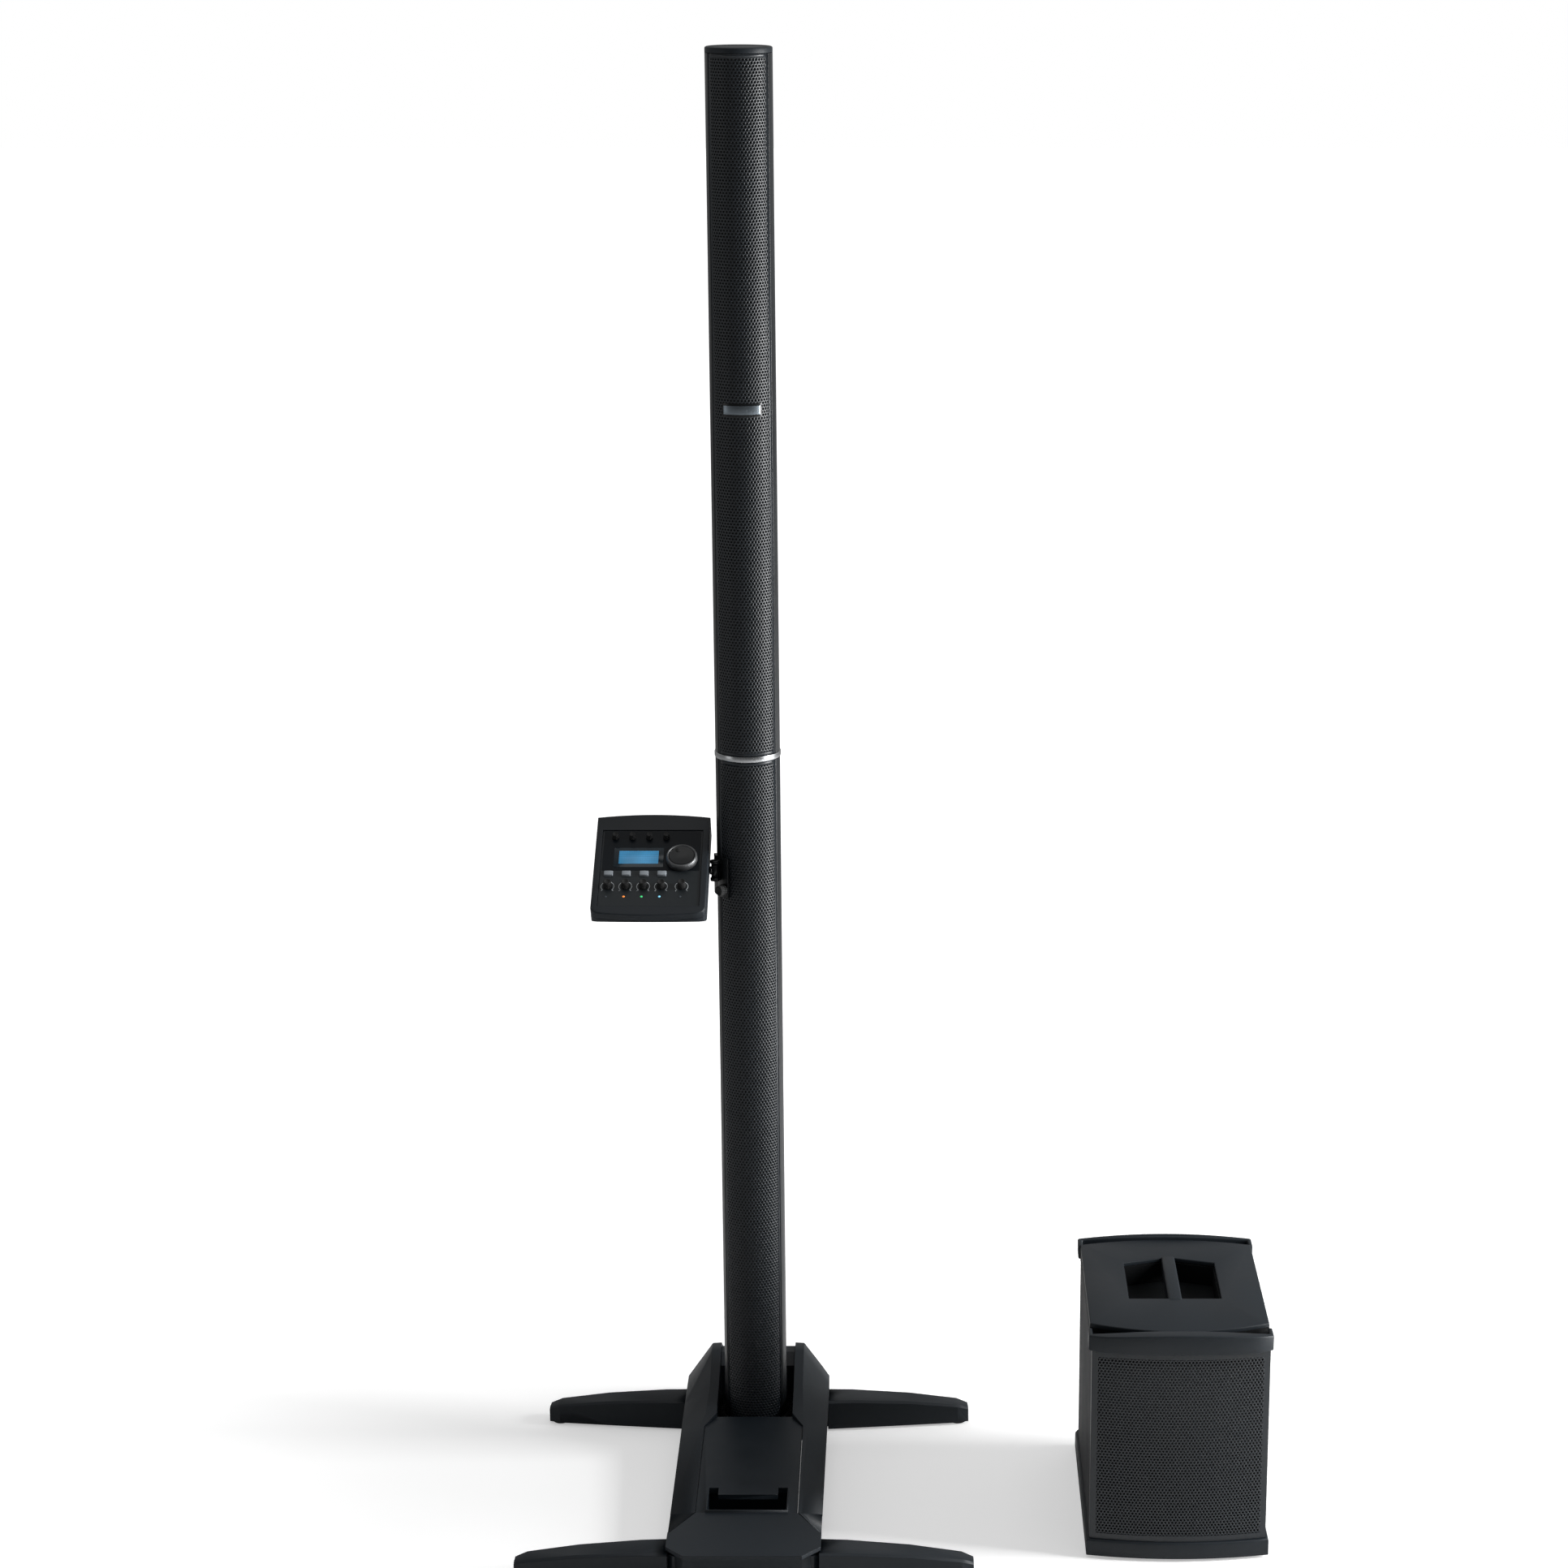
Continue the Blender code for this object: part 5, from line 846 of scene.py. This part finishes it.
class BuildMixerControls(bpy.types.Operator):
    """Makes the mixer's dial, knobs, buttons, lamps and printed arcs"""

    bl_idname = "column_system.mixer_controls"
    bl_label = "Mixer Controls"

    def execute(self, context):
        sizes = context.scene.column_mixer
        for i, (x, turn) in enumerate(zip(LEVEL_X, (35, -20, 10, -60, 75)), 1):
            self.knob(f"level_knob_{i}", x, LEVEL_Y, sizes.knob_radius, sizes.knob_height, sizes.flutes, turn)
            arc = arc_wall(0.0090, 0.0099, 45, 315, 0, 0.0002, 30)
            self.add(f"level_arc_{i}", arc, (x, LEVEL_Y, PANEL_TOP), "printed_ink", "mixer")
            for end in (-1, 1):
                tick = block((-0.0003, 0.0104, 0), (0.0003, 0.0124, 0.0002))
                self.add(f"level_tick_{i}_{'low' if end < 0 else 'high'}",
                         placed(tick, Matrix.Rotation(math.radians(end * 135), 4, "Z")),
                         (x, LEVEL_Y, PANEL_TOP), "printed_ink", "mixer")
        for i, (x, turn) in enumerate(zip(TRIM_X, (0, 30, -30, 15)), 1):
            self.knob(f"trim_knob_{i}", x, TRIM_Y, 0.0050, 0.0080, 10, turn)
        self.dial()
        half_wide, half_tall = 0.0065, 0.00425
        for i, x in enumerate(BUTTON_X, 1):
            key = rounded(block((-half_wide, -half_tall, -0.0075), (half_wide, half_tall, 0.0035)), 0.0011, 3)
            self.add(f"silicone_button_{i}", key, (x, BUTTON_Y, PANEL_TOP), "pale_silicone", f"push_button_{i}",
                     (f"push_button_{i}",), "button_grey")
        lamps = ("unlit_lens", "amber_lens", "green_lens", "cyan_lens", "unlit_lens")
        for i, (x, finish) in enumerate(zip(LEVEL_X, lamps), 1):
            lens = spun([(0, 0.0007), (0.0009, 0.0006), (0.0015, 0.0003), (0.0018, 0), (0.0018, -0.0010),
                         (0, -0.0010)], 24)
            self.add(f"level_lamp_{i}", lens, (x - 0.0015, -0.0640, PANEL_TOP), finish, "mixer")
        return {"FINISHED"}

    def add(self, name, shape, place, finish, body, replaces=(), slot=None):
        put = MIXER_PLACE @ Matrix.Translation(place)
        return piece(name, placed(shape, put), finish, body, 32, replaces)

    def knob(self, node, x, y, radius, height, flutes, turn):
        """A soft fluted knob on its shaft, with a printed pointer."""
        place = (x, y, PANEL_TOP + 0.0005)
        self.add(f"{node}_grip", fluted(radius, height, flutes), place, "soft_rubber", node, (node,), "black_plastic")
        shaft = spun([(0, -0.0120), (0.0029, -0.0120), (0.0029, 0.0010), (0, 0.0010)], 20)
        self.add(f"{node}_shaft", shaft, place, "nickel_plated_steel", node)
        pointer = block((-0.0005, radius * 0.18, height * 0.94), (0.0005, radius * 0.70, height * 0.955))
        self.add(f"{node}_pointer", placed(pointer, Matrix.Rotation(math.radians(turn), 4, "Z")), place,
                 "printed_ink", node)

    def dial(self):
        """The large selector: a bright ring round a dished black face."""
        place = (*DIAL, PANEL_TOP + 0.0005)
        ring = spun([(0.0192, 0), (0.0226, 0), (0.0230, 0.0010), (0.0226, 0.0086), (0.0216, 0.0104),
                     (0.0204, 0.0110), (0.0192, 0.0100)], 96, closed=True)
        self.add("selector_bright_ring", ring, place, "blasted_nickel", "selector_dial", slot="satin_metal")
        face = spun([(0, 0.0088), (0.0080, 0.0092), (0.0150, 0.0103), (0.0180, 0.0106), (0.0192, 0.0098),
                     (0.0194, 0.0002), (0, 0.0002)], 72)
        self.add("selector_face", face, place, "black_polycarbonate", "selector_dial", ("selector_dial",),
                 "black_plastic")
        shaft = spun([(0, -0.0120), (0.0029, -0.0120), (0.0029, 0.0010), (0, 0.0010)], 20)
        self.add("selector_shaft", shaft, place, "nickel_plated_steel", "selector_dial")
        dimple = spun([(0, 0.0004), (0.0026, 0.0006), (0.0034, 0.0002), (0.0036, -0.0010), (0, -0.0010)], 32)
        put = (DIAL[0] - 0.006, DIAL[1] + 0.011, PANEL_TOP + 0.0108)
        self.add("selector_finger_rest", dimple, put, "soft_rubber", "selector_dial")


class BuildDisplay(bpy.types.Operator):
    """Makes the mixer's lit display behind its window"""

    bl_idname = "column_system.display"
    bl_label = "Display"

    def execute(self, context):
        put = MIXER_PLACE @ Matrix.Translation((*SCREEN, PANEL_TOP))
        surround = slab(rectangle(-0.0365, -0.0195, 0.0365, 0.0195), 0.0, 0.0004)
        piece("display_surround", placed(rounded(surround, 0.00015, 2), put), "tinted_acrylic", "mixer")
        window = block((-0.0320, -0.0155, -0.0019), (0.0320, 0.0155, 0.0006), 0.0003)
        piece("display_glass", placed(window, put), "tinted_acrylic", "mixer", replaces=("display_window",))
        lit = rounded(block((-0.0290, -0.0130, 0.0002), (0.0290, 0.0130, 0.0008)), 0.0002, 2)
        piece("display_crystal", placed(lit, put), "lit_crystal", "mixer")
        return {"FINISHED"}


class BuildArm(bpy.types.Operator):
    """Makes the clamp, its thumb screw and the swinging arm"""

    bl_idname = "column_system.arm"
    bl_label = "Arm"

    def execute(self, context):
        carried("arm_clamp", "black_polycarbonate", "clamp_casting", "lower_column")
        carried("swing_arm", "black_polycarbonate", "arm_casting", "swing_arm")
        angle, reach, height = math.radians(-44.0), 0.0529, 0.917  # the screw's place on the clamp
        out = Vector((math.sin(angle), -math.cos(angle), 0))
        turn = Vector((0, 0, 1)).rotation_difference(out).to_matrix().to_4x4()
        put = Matrix.Translation(out * reach + Vector((0, 0, height))) @ turn
        grip = fluted(0.0085, 0.0104, 16, 0.90)
        piece("thumb_screw_grip", placed(grip, put), "soft_rubber", "clamp_knob", replaces=("clamp_knob",))
        shaft = spun([(0, -0.0048), (0.0029, -0.0048), (0.0029, 0.001), (0, 0.001)], 20)
        piece("thumb_screw_shaft", placed(shaft, put), "nickel_plated_steel", "clamp_knob")
        return {"FINISHED"}


# ---------------------------------------------------------------- bass module


def bass_plan(half, front, back, corner=0.012, steps=20):
    """The bass module's plan, with a bowed front."""
    points = []
    for i in range(steps + 1):
        x = -half + 2 * half * i / steps
        points.append((BASS_X + x, front + BASS_BOW * (x / half) ** 2))
    for x, y in ((half, back - corner), (half - corner * 0.3, back - corner * 0.3), (half - corner, back)):
        points.append((BASS_X + x, y))
    for x, y in ((corner - half, back), (corner * 0.3 - half, back - corner * 0.3), (-half, back - corner)):
        points.append((BASS_X + x, y))
    return points


class BuildBass(bpy.types.Operator):
    """Makes the bass module's caps, handle, grille, cabinet and feet"""

    bl_idname = "column_system.bass"
    bl_label = "Bass Module"

    def execute(self, context):
        self.top(context.scene.column_bass)
        self.bottom(context.scene.column_bass)
        self.grille(context.scene.column_sizes)
        carried("bass_cabinet", "pebbled_paint", "painted_cabinet", "bass_module")
        carried("bass_port", "black_polycarbonate", "port_tube", "bass_module", smooth=40)
        return {"FINISHED"}

    def add(self, name, shape, finish, replaces=(), slot=None, smooth=32.0):
        return piece(name, shape, finish, "bass_module", smooth, replaces)

    def top(self, sizes):
        """The top with its sunk grooves behind the lips, the lined handle pocket and the bar across it."""
        low = CABINET_HIGH.z + 0.0003
        top = BASS_HIGH.z - sizes.top_drop
        groove = top - sizes.groove
        half = CABINET_HALF + 0.0012
        plan = bass_plan(half, BASS_LOW.y + 0.007, BASS_HIGH.y - 0.007)
        deck_plan = self.deck_plan(half)
        whole = self.pocket(-POCKET_HALF, POCKET_HALF)
        # Painted shade: the base under the deck (its groove floors and edges show), the deck's walls and the pocket's
        # liner, floor and walls take a near-black finish where shade falls
        self.add("bass_top_base", slab(plan, low, groove, [whole]), "deep_shade_abs", ("bass_top_cap",),
                 "charcoal_plastic")
        self.add("bass_top_walls", slab(deck_plan, groove, top - 0.006, [whole]), "deep_shade_abs")
        halves = [self.pocket(-POCKET_HALF, -0.0095), self.pocket(0.0095, POCKET_HALF)]
        deck = rounded(slab(deck_plan, top - 0.006, top, halves), 0.0016, 3, at_height(top))
        self.add("bass_top_deck", deck, "charcoal_abs")
        liner = slab(self.pocket(-POCKET_HALF, POCKET_HALF, -0.0004), POCKET_FLOOR + 0.0015, top - 0.0075,
                     [self.pocket(-POCKET_HALF, POCKET_HALF, -0.0018)])
        self.add("bass_pocket_liner", liner, "deep_shade_abs")
        cup = slab(self.pocket(-POCKET_HALF, POCKET_HALF, 0.0020), POCKET_FLOOR - 0.0010, POCKET_FLOOR + 0.0015)
        self.add("bass_pocket_floor", cup, "deep_shade_abs")
        side = slab(self.pocket(-POCKET_HALF, POCKET_HALF, 0.0020), POCKET_FLOOR + 0.0015, low, [whole])
        self.add("bass_pocket_walls", side, "deep_shade_abs")
        bar = block((BASS_X - 0.0100, POCKET_FRONT - 0.005, top - 0.020),
                    (BASS_X + 0.0100, POCKET_BACK + 0.002, top + 0.0010), 0.0030, 4)
        self.add("bass_handle_bar", bar, "charcoal_abs")
        self.lip("bass_front_lip", BASS_LOW.y, sizes, low - 0.0010, 0.3500, 0.0048, True)
        self.lip("bass_rear_lip", BASS_HIGH.y, sizes, low + 0.002, 0.3490, 0.0058, False)

    def pocket(self, left, right, margin=0.0):
        """The handle pocket's plan between two places across it, a margin larger than it."""
        def back(x):
            return POCKET_BACK + (POCKET_CORNER - POCKET_BACK) * abs(x) / POCKET_HALF + margin

        left, right = left - margin, right + margin
        points = [(left, POCKET_FRONT - margin), (right, POCKET_FRONT - margin), (right, back(right))]
        if left < 0 < right:
            points.append((0, back(0)))
        return [(BASS_X + x, y) for x, y in points + [(left, back(left))]]

    def deck_plan(self, half, steps=20):
        """The raised part of the top, whose front and back edges leave lens-shaped grooves behind the lips."""
        shares = [-1 + 2 * i / steps for i in range(steps + 1)]
        front = [(BASS_X + half * share, BASS_LOW.y + 0.0285 + 0.0290 * share ** 2) for share in shares]
        back = [(BASS_X + half * share, BASS_HIGH.y - 0.0135 - 0.0200 * share ** 2) for share in reversed(shares)]
        return front + back

    def lip(self, name, face, sizes, low, end_top, rise, at_front):
        """A bumper along the front or back that wraps round both sides and rises in the middle."""
        half, steps = BASS_HALF, 48
        wall = 0.029 if at_front else 0.013
        turn = 0.0060 if at_front else 0.0  # how far the front lip turns back at its ends
        turn_from, thinning = 0.78, 0.45  # where that starts, and how much of the wall the ends lose
        outer, inner = [], []
        for i in range(steps + 1):
            x = -half + 2 * half * i / steps
            bow = BASS_BOW * abs(x / half) ** 3 if at_front else -0.006 * (x / half) ** 2
            corner = turn * (max(0.0, abs(x / half) - turn_from) / (1 - turn_from)) ** 2
            outer.append((BASS_X + x, face + bow + corner))
            shrink = (half - 0.006) / half
            depth = wall * (1 - thinning * (x / half) ** 2)
            inner.append((BASS_X + x * shrink, face + bow * 0.9 + (depth if at_front else -depth)))
        reach = sizes.lip if at_front else -sizes.lip
        side = outer[0][1] + reach
        ends = [(BASS_X + half, side), (BASS_X + half - 0.006, side)]
        starts = [(BASS_X - half + 0.006, side), (BASS_X - half, side)]
        shape = slab(outer + ends + inner[::-1] + starts, low, end_top)
        drop = sizes.lip_fall
        for corner in shape.verts:
            if corner.co.z > end_top - 1e-5:
                across = ((corner.co.x - BASS_X) / half) ** 2
                depth = abs(corner.co.y - face) / wall
                corner.co.z += rise * max(0.0, 1 - across) - drop * min(1.0, depth) * (1 if at_front else 0)
        bmesh.ops.recalc_face_normals(shape, faces=shape.faces)
        self.add(name, rounded(shape, 0.0022, 3, angle=50), "charcoal_abs", smooth=40)

    def bottom(self, sizes):
        low, high = 0.004, CABINET_LOW.z - 0.0003
        plan = bass_plan(BASS_HALF, BASS_LOW.y, BASS_HIGH.y)
        cap = rounded(slab(plan, low, high), sizes.edge, 3, at_height(high))
        cap = rounded(cap, 0.0020, 2, at_height(low))
        self.add("bass_bottom_moulding", cap, "charcoal_abs", ("bass_bottom_cap",), "charcoal_plastic")
        inset = BASS_HALF - 0.030
        for index, (x, y) in enumerate((x, y) for x in (-inset, inset) for y in (-0.333, -0.022)):
            foot = spun([(0, 0.0004), (0.008, 0.0004), (0.009, 0), (0.0132, 0), (0.014, 0.0008), (0.014, 0.006),
                         (0, 0.006)], 32)
            self.add(f"bass_foot_{index + 1}", placed(foot, Matrix.Translation((BASS_X + x, y, 0))), "soft_rubber")

    def grille(self, sizes):
        low, high = CABINET_LOW.z, CABINET_HIGH.z
        curve = bass_front(BASS_LOW.y + 0.004)
        half, margin = CABINET_HALF, 0.009
        sheet = perforated(2 * (half - margin), high - low - 2 * margin, sizes.pitch, sizes.hole)
        bmesh.ops.translate(sheet, verts=sheet.verts, vec=(0, 0, low + margin))
        walled(self.add("bass_perforated_front", facing(bent(sheet, curve), (0, -1, 0)), "powder_coated_steel",
                        ("bass_grille",), "grille_steel", 60), sizes.sheet)
        for side, bounds in {
            "left": (-half, margin - half, low, high), "right": (half - margin, half, low, high),
            "foot": (margin - half, half - margin, low, low + margin),
            "head": (margin - half, half - margin, high - margin, high),
        }.items():
            border = facing(bent(strip(*bounds, 30), curve), (0, -1, 0))
            fold = self.add(f"bass_front_{side}_border", border, "powder_coated_steel", smooth=60)
            for edge in fold.data.edges:
                edge.use_edge_sharp = True
            walled(fold, sizes.sheet)
        edge = curve(half)[1]
        for name, x in (("left", BASS_X - half), ("right", BASS_X + half - 0.0012)):
            turned = block((x, edge, low), (x + 0.0012, CABINET_LOW.y - 0.0003, high), 0.0003)
            self.add(f"bass_front_{name}_turn", turned, "powder_coated_steel")
        cloth = strip(-half + 0.004, half - 0.004, low + 0.003, high - 0.003, 30)
        cloth = facing(bent(cloth, bass_front(BASS_LOW.y + 0.0056)), (0, -1, 0))
        walled(self.add("bass_front_cloth", cloth, "acoustic_cloth", smooth=60), 0.0004)


class BuildBassInput(bpy.types.Operator):
    """Makes the bass module's terminal block"""

    bl_idname = "column_system.bass_input"
    bl_label = "Bass Terminals"

    def execute(self, context):
        carried("bass_input_plate", "matt_panel_film", "bass_terminal_plate", "bass_module")
        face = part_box("bass_input_plate")[1].y
        for index, x in enumerate((BASS_X - 0.018, BASS_X + 0.018), 1):
            turn = Matrix.Translation((x, face, 0.180)) @ Matrix.Rotation(-math.pi / 2, 4, "X")
            rim = spun([(0.0101, -0.002), (0.0125, -0.002), (0.0125, 0.0008), (0.0118, 0.0014), (0.0105, 0.0012),
                        (0.0101, 0.0006)], 40, closed=True)
            piece(f"bass_socket_rim_{index}", placed(rim, turn), "nickel_plated_steel", "bass_module")
            core = spun([(0, -0.0130), (0.0062, -0.0130), (0.0062, -0.0030), (0.0056, -0.0022), (0, -0.0022)], 32)
            piece(f"bass_socket_core_{index}", placed(core, turn), "black_polycarbonate", "bass_module")
        spots = [(BASS_X + x, face, z) for x in (-0.035, 0.035) for z in (0.156, 0.204)]
        screws("bass_plate_screw", spots, "bass_module", (0, 1, 0))
        return {"FINISHED"}


class DressInside(bpy.types.Operator):
    """Gives the CAD pieces inside the covers their finishes"""

    bl_idname = "column_system.inside"
    bl_label = "Inner Pieces"

    def execute(self, context):
        dressed(("base_plug", "head_collar"), "charcoal_abs")
        dressed(("spigot", "transformer"), "zinc_plated_steel")
        dressed(("lower_drivers", "upper_drivers", "lower_woofer", "upper_woofer"), "cone_paper")
        dressed(("amplifier_board",), "circuit_board")
        return {"FINISHED"}


# ---------------------------------------------------------------- stage


class BuildStage(bpy.types.Operator):
    """Makes the floor, the lights, the background and the camera"""

    bl_idname = "column_system.stage"
    bl_label = "Stage"

    def execute(self, context):
        settings = context.scene.column_stage
        self.floor()
        self.world(context.scene)
        self.area("key_light", (3.3, -0.5, 1.35), (0.25, 0.0, 0.85), (1.0, 2.4), settings.key)
        self.area("fill_light", (-3.4, -1.6, 1.5), (0.0, 0.0, 1.0), (1.2, 2.4), settings.fill)
        self.area("top_light", (0.3, -0.4, 4.2), (0.3, -0.2, 0.0), (3.0, 3.0), settings.top)
        camera = bpy.data.objects.new("camera", bpy.data.cameras.new("camera"))
        camera.data.lens = settings.lens
        camera.data.sensor_width = 36.0
        camera.data.shift_x = -0.0819
        camera.data.shift_y = 0.0285
        camera.location = (0.242, -4.954, 2.384)
        camera.rotation_euler.x = math.radians(90 - 15.61)
        context.scene.collection.objects.link(camera)
        context.scene.camera = camera
        context.scene.view_settings.view_transform = "Standard"
        return {"FINISHED"}

    def floor(self):
        shape = bmesh.new()
        bmesh.ops.create_grid(shape, x_segments=1, y_segments=1, size=25.0)
        mesh = bpy.data.meshes.new("studio_floor")
        shape.to_mesh(mesh)
        shape.free()
        # Matt white vinyl roll: pale, a little soft gloss. To the camera alone it also glows with painted light, dim
        # near the object and full white far from it, so the floor far off is painted white and the floor round the
        # object is painted darker
        tree, shader = new_finish("white_vinyl", Roughness=0.9)
        place = add_node(tree, "ShaderNodeTexCoord").outputs["Object"]
        cloud = add_node(tree, "ShaderNodeTexNoise", {"Vector": place, "Scale": 3.0}).outputs["Fac"]
        tree.links.new(colour_mix(tree, cloud, linear("#EAEAEA"), linear("#F0F0F0")), shader.inputs["Base Color"])
        rays = add_node(tree, "ShaderNodeLightPath").outputs
        far = add_node(tree, "ShaderNodeVectorMath", {0: place, 1: (-0.3, 0.3, 0)}, operation="ADD").outputs["Vector"]
        reach = add_node(tree, "ShaderNodeVectorMath", {0: far}, operation="LENGTH").outputs["Value"]
        # Painted light seen only by the camera: 0.41 within 0.75 m of the object, rising to 1.0 at 2.2 m
        glow = add_node(tree, "ShaderNodeMapRange", {"Value": reach, "From Min": 0.75, "From Max": 2.2, "To Min": 0.41,
                                                     "To Max": 1.0}, interpolation_type="SMOOTHSTEP").outputs["Result"]
        seen = add_node(tree, "ShaderNodeMath", {0: rays["Is Camera Ray"], 1: glow}, operation="MULTIPLY").outputs[0]
        shader.inputs["Emission Color"].default_value = (1, 1, 1, 1)
        tree.links.new(seen, shader.inputs["Emission Strength"])
        mesh.materials.append(finish_of("white_vinyl"))
        floor = bpy.data.objects.new("studio_floor", mesh)
        bpy.context.scene.collection.objects.link(floor)

    def world(self, scene):
        """White to the camera, and to other rays a dim room in front of the object and a pale one behind it."""
        world = bpy.data.worlds.new("studio")
        world.use_nodes = True
        scene.world = world
        tree = world.node_tree
        tree.nodes.clear()
        ray = add_node(tree, "ShaderNodeTexCoord").outputs["Generated"]
        way = add_node(tree, "ShaderNodeSeparateXYZ", {"Vector": ray})
        room = add_node(tree, "ShaderNodeMapRange", {"Value": way.outputs["Y"], "From Min": -0.6, "From Max": 0.9,
                                                     "To Min": 0.12, "To Max": 0.42}).outputs["Result"]
        rays = add_node(tree, "ShaderNodeLightPath").outputs
        seen = add_node(tree, "ShaderNodeMath", {0: rays["Is Camera Ray"], 1: rays["Is Transmission Ray"]},
                        operation="MAXIMUM").outputs[0]
        strength = add_node(tree, "ShaderNodeMath", {0: seen, 1: room}, operation="MAXIMUM").outputs[0]
        back = add_node(tree, "ShaderNodeBackground", {"Color": (1, 1, 1, 1), "Strength": strength})
        add_node(tree, "ShaderNodeOutputWorld", {"Surface": back.outputs["Background"]})

    def area(self, name, place, target, extent, power):
        lamp = bpy.data.lights.new(name, "AREA")
        lamp.shape = "RECTANGLE"
        lamp.size, lamp.size_y = extent
        lamp.energy = power
        thing = bpy.data.objects.new(name, lamp)
        thing.location = place
        thing.rotation_euler = (Vector(target) - Vector(place)).to_track_quat("-Z", "Y").to_euler()
        bpy.context.scene.collection.objects.link(thing)


# ---------------------------------------------------------------- add-on

STEPS = (
    BuildStage,
    BuildFinishes,
    BuildColumn,
    BuildGrilles,
    BuildStand,
    BuildConnections,
    BuildArm,
    BuildMixerCase,
    BuildMixerControls,
    BuildDisplay,
    BuildBass,
    BuildBassInput,
    DressInside,
)


class ColumnSystemPanel(bpy.types.Panel):
    """Lists the steps and the settings of the column system"""

    bl_idname = "VIEW3D_PT_column_system"
    bl_label = "Column System"
    bl_space_type = "VIEW_3D"
    bl_region_type = "UI"
    bl_category = "Column System"

    def draw(self, context):
        for step in STEPS:
            self.layout.operator(step.bl_idname)
        for name, group in SETTINGS.items():
            box = self.layout.box()
            for key in group.__annotations__:
                box.prop(getattr(context.scene, name), key)


CLASSES = (*SETTINGS.values(), *STEPS, ColumnSystemPanel)


def register():
    for kind in CLASSES:
        bpy.utils.register_class(kind)
    for name, group in SETTINGS.items():
        setattr(bpy.types.Scene, name, PointerProperty(type=group))


def unregister():
    for name in SETTINGS:
        delattr(bpy.types.Scene, name)
    for kind in reversed(CLASSES):
        bpy.utils.unregister_class(kind)


def main():
    register()
    for step in STEPS:
        group, name = step.bl_idname.split(".")
        getattr(getattr(bpy.ops, group), name)()


if __name__ == "__main__":
    main()
